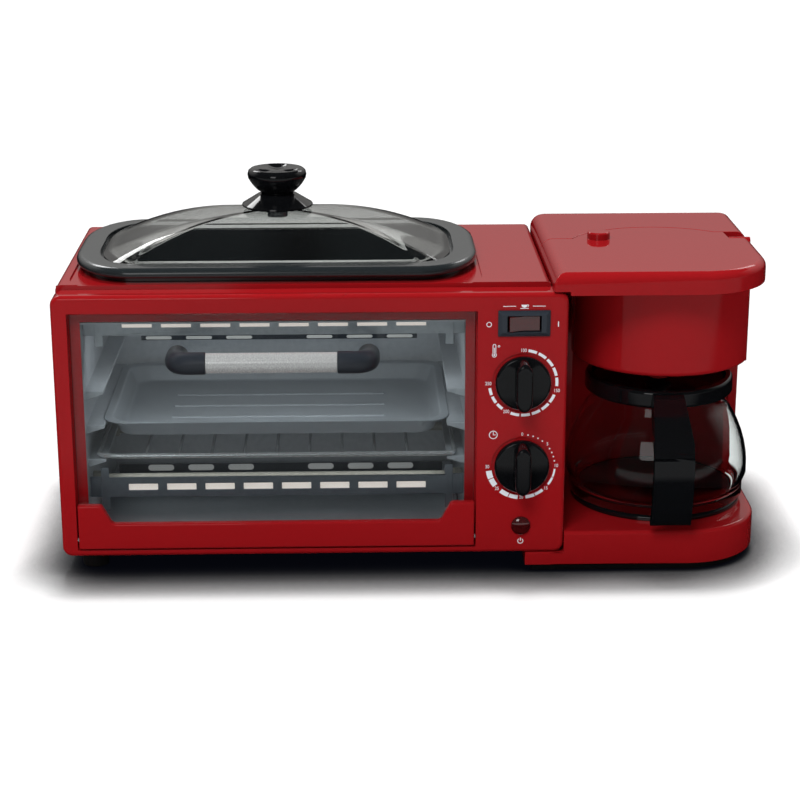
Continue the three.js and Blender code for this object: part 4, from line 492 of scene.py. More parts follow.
def stacked(name, rings):
    """Draws a skin through rings with equally many places and closes both of its ends."""
    bpy.ops.object.select_all(action="DESELECT")
    bpy.ops.mesh.primitive_circle_add(vertices=len(rings[0]), radius=MM)
    piece = bpy.context.object
    piece.name = name
    bpy.ops.object.mode_set(mode="EDIT")
    bpy.ops.mesh.select_mode(type="EDGE")
    bpy.ops.mesh.select_all(action="SELECT")
    mesh = bmesh.from_edit_mesh(piece.data)
    number = mesh.verts.layers.int.new("number")
    for i, vertex in enumerate(mesh.verts):
        vertex[number] = i
    bmesh.update_edit_mesh(piece.data)
    lay(piece, rings[0])
    for ring in rings[1:]:
        bpy.ops.mesh.extrude_edges_move()
        lay(piece, ring)
    bpy.ops.mesh.select_all(action="SELECT")
    bpy.ops.mesh.fill_holes(sides=0)
    bpy.ops.mesh.select_all(action="SELECT")
    bpy.ops.mesh.remove_doubles(threshold=0.004 * MM)
    bpy.ops.mesh.normals_make_consistent(inside=False)
    bpy.ops.object.mode_set(mode="OBJECT")
    return piece


def rectangle(left, right, front, back, reaches):
    """Corners of a rectangle with the reach of each rounding, from the near left one anticlockwise."""
    places = [(left, front), (right, front), (right, back), (left, back)]
    return [(*place, reach) if reach else place for place, reach in zip(places, reaches)]


def level(corners, z, steps=8):
    """An outline laid flat at a height."""
    return [(p.x, p.y, z) for p in rounded(corners, steps)]


def upright(corners, y, steps=8):
    """An outline stood up, facing us, at a depth."""
    return [(p.x, y, p.y) for p in rounded(corners, steps)]


def quarter(steps=6):
    """Shares of inset and of depth along a quarter round, from the side to the face."""
    turns = [math.pi / 2 * i / steps for i in range(steps + 1)]
    return [(1 - math.cos(a), math.sin(a)) for a in turns]


print("rings of a quarter round:", len(quarter()))

# %% [markdown]
# The front frame is one moulding in gloss plastic. Its outer edge is a broad quarter round that catches
# the light as a thin bright line, and a lip behind the opening is what the door closes on. The round is
# drawn as rings and not bevelled, because the short edges of the round corners would hold a bevel back.

# %% Front frame
FRAME_ROUND = 3.0
FRAME_CORNER = 6.6
FRAME_FACE = 3.0
DOOR_LEFT, DOOR_RIGHT, DOOR_TOP, DOOR_FOOT = -159.5, 110.1, 170.2, 4.6
LIP_REACH, LIP_FRONT, LIP_BACK, LIP_FOOT = 7.6, 8.3, 9.5, 17
PANEL_X = 140.6
DIAL_HEIGHTS = {"temperature": 120.8, "timer": 62.4}
GROOVE_IN, GROOVE_OUT, GROOVE_DEPTH = 18.9, 20.5, 0.9
frame_span = span("front_frame")


def frame_ring(inset, y):
    """The frame's outline, drawn in by an inset, at a depth."""
    (left, _, foot), (right, _, top) = frame_span
    corner = FRAME_CORNER - min(inset, FRAME_CORNER / 2)
    return upright(rectangle(left + inset, right - inset, foot + inset, top - inset, [corner] * 4), y)


FRAME_BACK = frame_span[1].y
front_frame = stacked("red_front_frame", [frame_ring(0, FRAME_BACK)] + [
    frame_ring(FRAME_ROUND * inset, FRAME_ROUND * (1 - depth)) for inset, depth in quarter()])
carve(front_frame, block("hollow", (frame_span[0].x + FRAME_FACE, FRAME_FACE, FRAME_FACE),
                         (frame_span[1].x - FRAME_FACE, FRAME_BACK + PAST, frame_span[1].z - FRAME_FACE)))
LIP_SIDE, LIP_ROOT = 2, 1
lip = block("lip", (DOOR_LEFT - LIP_SIDE, FRAME_FACE - LIP_ROOT, DOOR_FOOT - LIP_ROOT),
            (DOOR_RIGHT + LIP_SIDE, LIP_BACK, DOOR_TOP + LIP_SIDE))
carve(front_frame, lip, "UNION")
carve(front_frame, block("opening", (DOOR_LEFT, -PAST, DOOR_FOOT), (DOOR_RIGHT, LIP_FRONT, DOOR_TOP)))
carve(front_frame, block("window", (DOOR_LEFT + LIP_REACH, 0, LIP_FOOT),
                         (DOOR_RIGHT - LIP_REACH, LIP_BACK + PAST, DOOR_TOP - LIP_REACH)))
carve(front_frame, block("foot_gap", (DOOR_LEFT, 0, DOOR_FOOT),
                         (DOOR_RIGHT, LIP_BACK + PAST, LIP_FOOT + LIP_ROOT)))
print("front frame faces:", len(front_frame.data.polygons))

# %% [markdown]
# The panel has a hole for each dial's shaft, for the lamp and for the switch, and a fine groove runs round
# each dial. The groove could be a dark printed line, but a cut one catches the light on its edge. Each
# hole runs through the whole frame, so that nothing that sits in it is buried in plastic.

# %% Holes and grooves of the panel
GROOVE_RISE = 1
BUSH_R, LAMP_SEAT_R, LAMP_Z = 5.3, 5.3, 19.7
SWITCH_Z, SWITCH_HOLE_W, SWITCH_HOLE_H = 161.9, 28, 13
for name, z in DIAL_HEIGHTS.items():
    groove = turned("groove", [(GROOVE_IN, GROOVE_RISE), (GROOVE_OUT, GROOVE_RISE),
                               (GROOVE_OUT, -GROOVE_DEPTH), (GROOVE_IN, -GROOVE_DEPTH),
                               (GROOVE_IN, GROOVE_RISE)], (PANEL_X, 0, z), "Y", 64)
    carve(front_frame, groove)
    carve(front_frame, rod("bush", "Y", BUSH_R, (PANEL_X, -PAST, z), (PANEL_X, FRAME_BACK, z)))
carve(front_frame, rod("lamp_seat", "Y", LAMP_SEAT_R, (PANEL_X, -PAST, LAMP_Z),
                       (PANEL_X, FRAME_BACK, LAMP_Z)))
carve(front_frame, block("switch_hole", (PANEL_X - SWITCH_HOLE_W / 2, -PAST, SWITCH_Z - SWITCH_HOLE_H / 2),
                         (PANEL_X + SWITCH_HOLE_W / 2, FRAME_BACK, SWITCH_Z + SWITCH_HOLE_H / 2)))
round_edges(front_frame, 0.35, 2, 50)
fit(front_frame, "appliance", "gloss_red", "front_frame")

# %% [markdown]
# The casing is folded from enamelled sheet. Its roof is pressed down a little round the griddle pan, which
# gives the dark red gap under the pan's rim. A shell could be made from one skin with Solidify, but the
# pressed roof would then need its own folds, so a solid is hollowed with a second one instead.

# %% Oven casing
CASE_CORNER = 4
RECESS_DROP, RECESS_CORNER = 1.4, 26
RECESS_LEFT, RECESS_RIGHT, RECESS_FRONT, RECESS_BACK = -160.7, 114.9, 9.7, 188.7
SHEET = 1.2
PAN_X, PAN_Y, PAN_HALF_W, PAN_HALF_D = -23.7, 103, 137.75, 80
PAN_CORNER = (41, 62)
HOLE_INSET = 13
case_low, case_high = span("oven_casing")


def pan_ring(inset, z):
    """A ring of the pan's outline, drawn in from the edge of its rim."""
    across, along = PAN_CORNER[0] - inset, PAN_CORNER[1] - inset
    reaches = [(along, across), (across, along), (along, across), (across, along)]
    return level(rectangle(PAN_X - PAN_HALF_W + inset, PAN_X + PAN_HALF_W - inset, PAN_Y - PAN_HALF_D + inset,
                           PAN_Y + PAN_HALF_D - inset, reaches), z, 10)


def case_ring(inset, y):
    """The casing's outline, drawn in by an inset, at a depth. Its inside runs out at the foot."""
    corner = CASE_CORNER - min(inset, CASE_CORNER)
    return upright(rectangle(case_low.x + inset, case_high.x - inset, case_low.z - PAST * (inset > 0),
                             case_high.z - inset, [0, 0, corner, corner]), y)


oven_casing = stacked("red_oven_casing", [case_ring(0, case_low.y), case_ring(0, case_high.y)])
inside = stacked("inside", [case_ring(SHEET, case_low.y - PAST), case_ring(SHEET, case_high.y + PAST)])
carve(oven_casing, inside)
thick = stacked("pressed", [level(rectangle(RECESS_LEFT - SHEET, RECESS_RIGHT + SHEET, case_low.y,
                                            RECESS_BACK + SHEET, [1, 1, RECESS_CORNER, RECESS_CORNER]), z)
                            for z in (case_high.z - RECESS_DROP - SHEET, case_high.z - SHEET / 2)])
carve(oven_casing, thick, "UNION")
recess = stacked("recess", [level(rectangle(RECESS_LEFT, RECESS_RIGHT, RECESS_FRONT, RECESS_BACK,
                                            [RECESS_CORNER] * 4), z)
                            for z in (case_high.z - RECESS_DROP, case_high.z + PAST)])
carve(oven_casing, recess)
carve(oven_casing, stacked("pan_hole", [pan_ring(HOLE_INSET, case_high.z - 2 * PAST),
                                        pan_ring(HOLE_INSET, case_high.z + PAST)]))
LIP_IN, LIP_DEPTH = 0.6, 8
carve(oven_casing, block("folded_front", (case_low.x + LIP_IN, case_low.y, case_high.z - LIP_DEPTH),
                         (case_high.x - LIP_IN, case_low.y + SHEET, case_high.z - SHEET / 2)), "UNION")
round_edges(oven_casing, 0.5, 3, 50)
fit(oven_casing, "appliance", "red_enamel", "oven_casing")

# %% [markdown]
# The cap over the coffee maker is a slab with a broad round edge, cut in two along a seam that bulges
# round the filter basket. The front half swings out with the drum, and the rear half is the tank's lid.
# Both halves are cut from the same slab, because two outlines drawn apart would never meet so evenly.

# %% Cap of the coffee maker
CAP_LEFT, CAP_RIGHT, CAP_FRONT, CAP_BACK = 160.1, 308, -0.6, 190.5
CAP_FOOT, CAP_TOP = 180.2, 195.2
CAP_ROUND, CAP_ROUND_LEFT, LEFT_STRIP = 5.8, 8.5, 11
CAP_CORNER, CAP_BACK_CORNER = 51, 9
SEAM_LEFT_Y, SEAM_GAP, SEAM_STEPS, PIN_STEPS = 101.5, 0.8, 40, 12
BULGE, BULGE_R = Vector((241, 70.7)), 66
PIN, PIN_ROUND = Vector((299.5, 104)), 16
CLEAR_FRAME, CLEAR_CASE = (171, 182.8), (160.1, 185.9)
CLEAR_FRAME_Y, CLEAR_CASE_Y = 41.5, 200


def cap_ring(share, z_share):
    """The cap's outline drawn in by a share of its round edge, which is wider along its left side."""
    inset, left = CAP_ROUND * share, CAP_ROUND_LEFT * share
    corners = rectangle(CAP_LEFT + left, CAP_RIGHT - inset, CAP_FRONT + inset, CAP_BACK - inset,
                        [1.0, CAP_CORNER - inset, CAP_BACK_CORNER - inset, CAP_BACK_CORNER - inset])
    places = rounded(corners, 14)
    fall = [CAP_ROUND_LEFT if p.x < CAP_LEFT + LEFT_STRIP else CAP_ROUND for p in places]
    return [(p.x, p.y, CAP_TOP - drop * (1 - z_share)) for p, drop in zip(places, fall)]


def cap_slab(name):
    """The whole cap, before it is cut in two."""
    foot = [(x, y, CAP_FOOT) for x, y, z in cap_ring(0, 0)]
    return stacked(name, [foot] + [cap_ring(inset, depth) for inset, depth in quarter(8)])


def seam_ring(grow, z):
    """The outline of the front half, drawn past the cap's other sides."""
    bulge, corner = BULGE_R + grow, PIN_ROUND + grow
    left_y = SEAM_LEFT_Y + grow
    start = math.asin((PIN.y + corner - BULGE.y) / bulge)
    end = math.pi - math.asin((left_y - BULGE.y) / bulge)
    turns = [start + (end - start) * i / SEAM_STEPS for i in range(SEAM_STEPS + 1)]
    leave = math.acos(min(1, (CAP_RIGHT + PAST - PIN.x) / corner))
    round_pin = [leave * (1 - i / PIN_STEPS) + math.pi / 2 * i / PIN_STEPS for i in range(PIN_STEPS + 1)]
    places = [(CAP_LEFT - PAST, CAP_FRONT - PAST), (CAP_RIGHT + PAST, CAP_FRONT - PAST)]
    places += [(PIN.x + corner * math.cos(a), PIN.y + corner * math.sin(a)) for a in round_pin]
    places += [(BULGE.x + bulge * math.cos(a), BULGE.y + bulge * math.sin(a)) for a in turns]
    places += [(CAP_LEFT - PAST, left_y)]
    return [(x, y, z) for x, y in places]


def seam_block(name, grow):
    """A block with the seam as its rear side, grown by the gap between the halves."""
    return stacked(name, [seam_ring(grow, CAP_FOOT - PAST), seam_ring(grow, CAP_TOP + 2 * PAST)])


def clear_oven(piece):
    """Cuts away what would touch the front frame or the casing."""
    carve(piece, block("frame_gap", (0, CAP_FRONT - PAST, 0),
                       (CLEAR_FRAME[0], CLEAR_FRAME_Y, CLEAR_FRAME[1])))
    return carve(piece, block("case_gap", (0, 0, 0), (CLEAR_CASE[0], CLEAR_CASE_Y, CLEAR_CASE[1])))


STUB, STUB_R, STUB_ROOT, STUB_TOP, STUB_ROUND = (201, 103), 8, CAP_TOP - 3, 200.2, 1.6
CAP_ROOF, HOLLOW_R = 3.6, 57
DRUM_X, DRUM_Y, DRUM_R = 243, 77, 62
brew_cover = carve(cap_slab("red_brew_cover"), seam_block("seam", 0), "INTERSECT")
clear_oven(brew_cover)
carve(brew_cover, rod("hollow", "Z", HOLLOW_R, (DRUM_X, DRUM_Y, CAP_FOOT - PAST),
                      (DRUM_X, DRUM_Y, CAP_TOP - CAP_ROOF)))
stub = turned("stub", [(0, STUB_ROOT), (STUB_R, STUB_ROOT), (STUB_R, STUB_TOP, STUB_ROUND), (0, STUB_TOP)],
              (*STUB, 0), steps=48)
carve(brew_cover, stub, "UNION")
NOTCH_FLOOR, NOTCH_LEFT, NOTCH_SLANT, NOTCH_RIGHT, NOTCH_FRONT, NOTCH_BACK = 188.2, 291.5, 1.2, 314, 100, 126
notch = stacked("notch", [[(NOTCH_LEFT, NOTCH_BACK, z), (NOTCH_LEFT + NOTCH_SLANT, NOTCH_FRONT, z),
                           (NOTCH_RIGHT, NOTCH_FRONT, z), (NOTCH_RIGHT, NOTCH_BACK, z)]
                          for z in (NOTCH_FLOOR, CAP_TOP + PAST)])
carve(brew_cover, notch)
HINGE_HOLE_R = 2.9
carve(brew_cover, rod("pin_hole", "Z", HINGE_HOLE_R, (PIN.x, PIN.y, CAP_FOOT - PAST),
                      (PIN.x, PIN.y, CAP_TOP + PAST), 24))
round_edges(brew_cover, 0.5, 3, 50)
fit(brew_cover, "brew_head", "gloss_red", "brew_cover")

tank_lid = carve(cap_slab("red_tank_lid"), seam_block("seam", SEAM_GAP))
clear_oven(tank_lid)
TANK_LEFT, TANK_RIGHT, TANK_FRONT, TANK_BACK = 162.5, 301.6, 140.3, 183.3
carve(tank_lid, block("hollow", (TANK_LEFT, TANK_FRONT, CAP_FOOT - PAST),
                      (TANK_RIGHT, TANK_BACK, CAP_TOP - CAP_ROOF)))
round_edges(tank_lid, 0.5, 3, 50)
fit(tank_lid, "tank_cover", "gloss_red", "tank_lid")

# %% [markdown]
# The drum under the cap hides the filter basket. It could be a cylinder with a hole, but its wall and soft
# lower edge come in one go when half of its section is spun. The knuckle for the hinge pin shows as an
# upright strip at the right, behind a flat side that ends in a step.

# %% Brew drum
DRUM_FOOT, DRUM_TOP, DRUM_WALL, OUTLET_R = 119, 179.9, 2.4, 26
brew_drum = turned("red_brew_drum", [
    (OUTLET_R, DRUM_FOOT), (DRUM_R, DRUM_FOOT, 3.2), (DRUM_R, DRUM_TOP), (DRUM_R - DRUM_WALL, DRUM_TOP),
    (DRUM_R - DRUM_WALL, DRUM_FOOT + DRUM_WALL), (OUTLET_R, DRUM_FOOT + DRUM_WALL), (OUTLET_R, DRUM_FOOT)],
    (DRUM_X, DRUM_Y, 0), steps=128)
KNUCKLE_R = 5
carve(brew_drum, rod("knuckle", "Z", KNUCKLE_R, (PIN.x, PIN.y, DRUM_FOOT), (PIN.x, PIN.y, DRUM_TOP)), "UNION")
carve(brew_drum, rod("pin_hole", "Z", HINGE_HOLE_R, (PIN.x, PIN.y, DRUM_FOOT - PAST),
                     (PIN.x, PIN.y, DRUM_TOP + PAST), 24))
SPOUT_LEFT, SPOUT_RIGHT, SPOUT_FRONT, SPOUT_BACK, SPOUT_FOOT = 235, 263, 127, 150, 168
carve(brew_drum, block("spout_notch", (SPOUT_LEFT, SPOUT_FRONT, SPOUT_FOOT),
                       (SPOUT_RIGHT, SPOUT_BACK, DRUM_TOP + PAST)))
FLAT_X, FLAT_FRONT, FLAT_BACK, FLAT_END = 299.3, 51, 88, 303
carve(brew_drum, block("flat_side", (FLAT_X, 0, 0), (FLAT_X + 4 * PAST, FLAT_BACK, DRUM_TOP + PAST)))
for name, low, high in (("flat_wall", (FLAT_X - DRUM_WALL, FLAT_FRONT), (FLAT_X, FLAT_BACK + DRUM_WALL)),
                        ("step_wall", (FLAT_X - DRUM_WALL, FLAT_BACK), (FLAT_END, FLAT_BACK + DRUM_WALL))):
    carve(brew_drum, block(name, (*low, DRUM_FOOT + 1), (*high, DRUM_TOP)), "UNION")
round_edges(brew_drum, 0.5, 3, 50)
fit(brew_drum, "brew_head", "gloss_red", "brew_drum")

# %% [markdown]
# The base under the carafe is a shallow moulding with a round front corner. A tongue of it runs under the
# oven's front frame. Such a moulding is hollow, so a second, smaller stack of rings is cut out of the
# first, which leaves a wall of even thickness.

# %% Base
BASE_LEFT, BASE_RIGHT, BASE_BACK, BASE_FOOT, BASE_TOP = 160.1, 308, 193.5, -9.5, 14.5
BASE_CORNER, BASE_BACK_CORNER, BASE_ROUND = 52, 12, 2.6
BASE_LEFT_CORNER, TONGUE_LEFT, TONGUE_BACK, TONGUE_ROOT, TONGUE_TOP = 6, 144, 60, 6, -0.3
MOULDED, PLATE_HOLE_R = 2.4, 52
FRAME_GAP_RIGHT, FRAME_GAP_BACK, CASE_GAP_FRONT, CASE_GAP_BACK = 170.3, 17.5, 12, 198


def base_ring(inset, z):
    """The base's outline, drawn in by an inset, at a height."""
    return level(rectangle(BASE_LEFT + inset, BASE_RIGHT - inset, inset, BASE_BACK - inset,
                           [0, BASE_CORNER - inset, BASE_BACK_CORNER - inset,
                            BASE_LEFT_CORNER - min(inset, 5)]), z, 16)


coffee_base = stacked("red_coffee_base", [base_ring(0, BASE_FOOT)] + [
    base_ring(BASE_ROUND * inset, BASE_TOP - BASE_ROUND * (1 - depth)) for inset, depth in quarter()])
carve(coffee_base, block("tongue", (TONGUE_LEFT, 0, BASE_FOOT),
                         (BASE_LEFT + TONGUE_ROOT, TONGUE_BACK, TONGUE_TOP)), "UNION")
hollow = stacked("hollow", [base_ring(MOULDED, BASE_FOOT - PAST), base_ring(MOULDED, BASE_TOP - MOULDED)])
carve(hollow, block("rim", (0, -PAST, -4 * PAST),
                    (FRAME_GAP_RIGHT + MOULDED, FRAME_GAP_BACK + MOULDED, 4 * PAST)))
carve(coffee_base, hollow)
carve(coffee_base, block("frame_gap", (0, -PAST, TONGUE_TOP), (FRAME_GAP_RIGHT, FRAME_GAP_BACK, 12 * PAST)))
carve(coffee_base, block("case_gap", (0, CASE_GAP_FRONT, TONGUE_TOP), (BASE_LEFT, CASE_GAP_BACK, 12 * PAST)))
carve(coffee_base, rod("plate_hole", "Z", PLATE_HOLE_R, (DRUM_X, DRUM_Y, 0),
                       (DRUM_X, DRUM_Y, 6 * PAST), 96))
round_edges(coffee_base, 0.6, 3, 50)
fit(coffee_base, "appliance", "gloss_red", "coffee_base")

# %% [markdown]
# The griddle pan is cast with a broad rolled flange that overhangs the casing, and a step that its lid
# stands on. Its outline is neither a rectangle nor an ellipse, so its skin is laid ring by ring, from the
# floor's underside up round the flange and down into the pan: each pair is an inset and a height.

# %% Griddle pan
PAN_FLOOR, PAN_WALL, PAN_TOP = 166, 2.4, 194.6
pan_outside = [(23, PAN_FLOOR - PAN_WALL), (21, 163.9), (14, 184.5), (8, 184.5), (8, 191), (2.4, 191),
               (2.4, 188.6), (1.2, 188.3), (0.2, 189.0), (0, 190.4), (0.5, 192.2), (1.5, 193.5), (3.1, 194.3),
               (4.8, PAN_TOP)]
pan_inside = [(15.6, PAN_TOP), (16.2, 194.3), (16.4, 193.7), (16.4, 189.6), (20, 189.6), (20.6, 189.1),
              (29.0, 168), (31, PAN_FLOOR)]
griddle_pan = stacked("griddle_pan_skin", [pan_ring(inset, z) for inset, z in pan_outside + pan_inside])
fit(griddle_pan, "pan", "griddle_coating", "griddle_pan")

# %% [markdown]
# The lid is pressed from tinted glass. Its dome has four soft ridges that run from the knob to the
# corners. A scaled sphere would have none, so the dome is a stack of rings whose corners lose their
# roundness faster than their sides shrink.

# %% Glass lid
LID_INSET, LID_FOOT, LID_THICK, LID_TOP, LID_POWER = 18.5, 189.9, 3.4, 218.7, 2.2
LID_HOLE_R, FLAT_SHARE, LID_SHARP, LID_STEPS, LID_EDGE = 3.2, 0.1, 2.0, 14, 0.8


def lid_ring(share, inset, z, sharp):
    """A ring of the lid, at a share of its full size, with corners that sharpen as the share falls."""
    across, along = (PAN_CORNER[0] - inset) * share ** sharp, (PAN_CORNER[1] - inset) * share ** sharp
    half_w, half_d = (PAN_HALF_W - inset) * share, (PAN_HALF_D - inset) * share
    reaches = [(along, across), (across, along), (along, across), (across, along)]
    return level(rectangle(PAN_X - half_w, PAN_X + half_w, PAN_Y - half_d, PAN_Y + half_d, reaches), z, 14)


def lid_skin(inset, drop):
    """The rings of one side of the lid, from its edge up to the flat spot under the knob."""
    shares = [1 - i / LID_STEPS * (1 - FLAT_SHARE) for i in range(LID_STEPS + 1)]
    high = LID_TOP - LID_FOOT - LID_THICK
    foot = LID_FOOT + LID_THICK - drop
    return [lid_ring(s, LID_INSET + inset, foot + high * (1 - s ** LID_POWER), LID_SHARP) for s in shares]


outside = lid_skin(0, 0)
under = lid_skin(LID_THICK * 0.8, LID_THICK)
edge = [lid_ring(1, LID_INSET + LID_EDGE, LID_FOOT, 1), lid_ring(1, LID_INSET, LID_FOOT + LID_EDGE, 1)]
crown, ceiling = [lid_ring(FLAT_SHARE / 4, LID_INSET, z, LID_SHARP) for z in (LID_TOP, LID_TOP - LID_THICK)]
lid_glass = stacked("glass_lid_skin", [ceiling] + under[::-1] + edge + outside + [crown])
carve(lid_glass, rod("screw_hole", "Z", LID_HOLE_R, (PAN_X, PAN_Y, LID_FOOT - PAST),
                     (PAN_X, PAN_Y, LID_TOP + PAST), 32))
fit(lid_glass, "griddle_lid", "smoked_glass", "lid_glass", smooth=50)

# %% [markdown]
# The lid's knob is turned from gloss black plastic, with three finger dimples in its dished top. The
# outline is spun. The dimples aren't the same all round, so each is cut afterwards with a large sphere.

# %% Lid knob
knob_profile = [(2.9, 226.3), (9.2, 226.3), (9.2, 230.2, 0.4), (11.9, 230.6, 0.5), (13.8, 231.9),
                (17.2, 235.4, 2), (20.0, 240.0), (20.4, 242.4), (19.8, 244.9), (18.2, 246.3), (16.6, 246.6),
                (13, 245.6, 2), (0, 245)]
lid_knob = turned("lid_knob_head", knob_profile + [(0, 232.6), (2.9, 232.6), (2.9, 226.3)], (PAN_X, PAN_Y, 0))
DIMPLE_R, DIMPLE_OUT, DIMPLE_DEEP, DISH_Z = 14, 9.5, 1.3, 245.2
for turn in (90, 210, 330):
    out = Matrix.Rotation(math.radians(turn), 3, "Z") @ Vector((DIMPLE_OUT, 0, 0))
    place = Vector((PAN_X, PAN_Y, 0)) + out
    bpy.ops.object.select_all(action="DESELECT")
    bpy.ops.mesh.primitive_uv_sphere_add(segments=48, ring_count=24, radius=DIMPLE_R * MM,
                                         location=at(place.x, place.y, DISH_Z - DIMPLE_DEEP + DIMPLE_R))
    bpy.ops.object.transform_apply(location=True, rotation=True, scale=True)
    carve(lid_knob, bpy.context.object)
fit(lid_knob, "griddle_lid", "black_gloss", "lid_knob")
skirt = turned("lid_knob_skirt_disc", [
    (2.9, 219), (13.6, 219), (24.2, 220.4), (24.6, 221), (24.4, 221.8), (13.4, 228.7, 0.6), (12.6, 229),
    (11.4, 229), (11.4, 226), (2.9, 226), (2.9, 219)], (PAN_X, PAN_Y, 0))
fit(skirt, "griddle_lid", "black_gloss", "lid_knob_skirt")

# %% [markdown]
# The door's foot rail is a gloss red moulding with raised ends, and the handle is a satin steel tube held
# by two soft-touch elbows. An elbow made of straight rods would break its highlight at each joint, so it
# is drawn as one curve with a round section and then made a mesh.

# %% Door rail and glass
RAIL_LEFT, RAIL_RIGHT, RAIL_FOOT, RAIL_TOP, RAIL_END_TOP = -158.5, 109.1, 5.6, 23.9, 37.1
RAIL_END_W, RAIL_SLOPE, RAIL_FRONT, RAIL_BACK, RAIL_ROUND = 16, 7, -1.4, 3.3, 1.4


def rail_ring(inset, y):
    """The outline of the door's foot rail with its raised ends, at a depth."""
    left, right, foot, top = RAIL_LEFT + inset, RAIL_RIGHT - inset, RAIL_FOOT + inset, RAIL_TOP - inset
    end_top = RAIL_END_TOP - inset
    near, far = RAIL_END_W - inset * 1.3, RAIL_END_W + RAIL_SLOPE - inset * 0.7
    corners = [(left, foot, 1), (right, foot, 1), (right, end_top, 1), (right - near, end_top, 2),
               (right - far, top, 2), (left + far, top, 2), (left + near, end_top, 2), (left, end_top, 1)]
    return upright(corners, y, 5)


door_rail = stacked("red_door_rail", [rail_ring(0, RAIL_BACK)] + [
    rail_ring(RAIL_ROUND * inset, RAIL_FRONT + RAIL_ROUND * (1 - depth)) for inset, depth in quarter(4)])
PIN_HOLE_R, PIN_DEPTH, HINGE = 1.6, 10.3, (1, 12)
for end, inward in ((RAIL_LEFT, 1), (RAIL_RIGHT, -1)):
    xs = sorted((end - PAST * inward, end + PIN_DEPTH * inward))
    carve(door_rail, rod("pin_hole", "X", PIN_HOLE_R, (xs[0], *HINGE), (xs[1], *HINGE), 20))
fit(door_rail, "door", "gloss_red", "door_rail")
glass_low, glass_high = span("door_glass")
door_glass = round_edges(block("door_glass_pane", glass_low, glass_high), 0.5, 2)
fit(door_glass, "door", "clear_glass", "door_glass", smooth=20)
door_glass.data.materials[0] = door_pane_glass

# %% Handle
HANDLE_X, HANDLE_Y, HANDLE_Z, TUBE_HALF, TUBE_R = -24.7, -30, 145, 42.2, 6.6
ELBOW_START, ELBOW_R = 42.5, 7.3
# how far the middle line of an elbow has gone outwards, back and down from the end of the tube
ELBOW_WAY = ((0, 0, 0), (5, 0, 0), (14, 0, 0.3), (19, 6, 1), (20.5, 16, 3), (20.5, 24, 4), (20.5, 36, 4.5))


def bent(name, path, radius, sides, smooth):
    """A round bar along a smooth path, drawn as a curve and made a mesh."""
    bpy.ops.object.select_all(action="DESELECT")
    bpy.ops.curve.primitive_nurbs_path_add()
    piece = bpy.context.object
    piece.name = name
    spline = piece.data.splines[0]
    spline.points.add(max(0, len(path) - len(spline.points)))
    for point, place in zip(spline.points, path):
        point.co = (*at(*place), 1)
    spline.use_endpoint_u = True
    spline.order_u = 4
    spline.resolution_u = smooth
    piece.data.bevel_depth = radius * MM
    piece.data.bevel_resolution = sides
    piece.data.use_fill_caps = True
    take(piece)
    bpy.ops.object.convert(target="MESH")
    bpy.ops.object.mode_set(mode="EDIT")
    bpy.ops.mesh.select_all(action="SELECT")
    bpy.ops.mesh.remove_doubles(threshold=0.002 * MM)
    bpy.ops.mesh.normals_make_consistent(inside=False)
    bpy.ops.object.mode_set(mode="OBJECT")
    return piece


for side, word in ((-1, "left"), (1, "right")):
    start = HANDLE_X + side * ELBOW_START
    path = [(start + side * out, HANDLE_Y + back, HANDLE_Z - down) for out, back, down in ELBOW_WAY]
    elbow = bent(f"handle_elbow_grip_{word}", path, ELBOW_R, 10, 10)
    carve(elbow, block("behind", (start - 60, RAIL_BACK, 100), (start + 60, 40, 190)))
    round_edges(elbow, 0.8, 3, 60)
    fit(elbow, "door", "soft_touch_grey", f"handle_elbow_{word}", smooth=50)
tube = rod("handle_tube_bar", "X", TUBE_R, (HANDLE_X - TUBE_HALF, HANDLE_Y, HANDLE_Z),
           (HANDLE_X + TUBE_HALF, HANDLE_Y, HANDLE_Z), 64)
fit(tube, "door", "bright_steel", "handle_tube")
# ground along its length with a fine belt, so it is a light, soft grey and not a mirror
tube.data.materials[0] = finish("belt_ground_stainless",
                                {"Base Color": colour("#b9bbbb"), "Roughness": 0.26, "Metallic": 0.4},
                                {"Base Color": (colour("#b4b6b6"), colour("#bec0c0")),
                                 "Roughness": (0.24, 0.3)}, grain_mm=0.5)

# %% [markdown]
# The two dials have a slightly domed disc with a tapered oval grip across it, moulded in gloss black. A
# flat disc would mirror one even tone. The dome spreads its reflection, so that the upper half shows the
# light part of the room and the lower half the dark part.

# %% Dials
DIAL_R, DIAL_BASE, GRIP_HALF_W, GRIP_HALF_L, GRIP_SHORTEN = 18.6, 3.6, 6.0, 17.6, 1.4
GRIP_OUT, GRIP_TAPER, GRIP_ROUND = 15.3, 0.7, 1.9
SHAFT_R, SHAFT_END = 3, 3.3


def grip_ring(z, inset, out):
    """The oval outline of a dial's grip, at a distance in front of the panel."""
    half_w, half_l = GRIP_HALF_W - inset, GRIP_HALF_L - inset * GRIP_SHORTEN
    return upright(rectangle(PANEL_X - half_w, PANEL_X + half_w, z - half_l, z + half_l,
                             [(half_w * 1.4, half_w), (half_w, half_w * 1.4)] * 2), -out, 8)


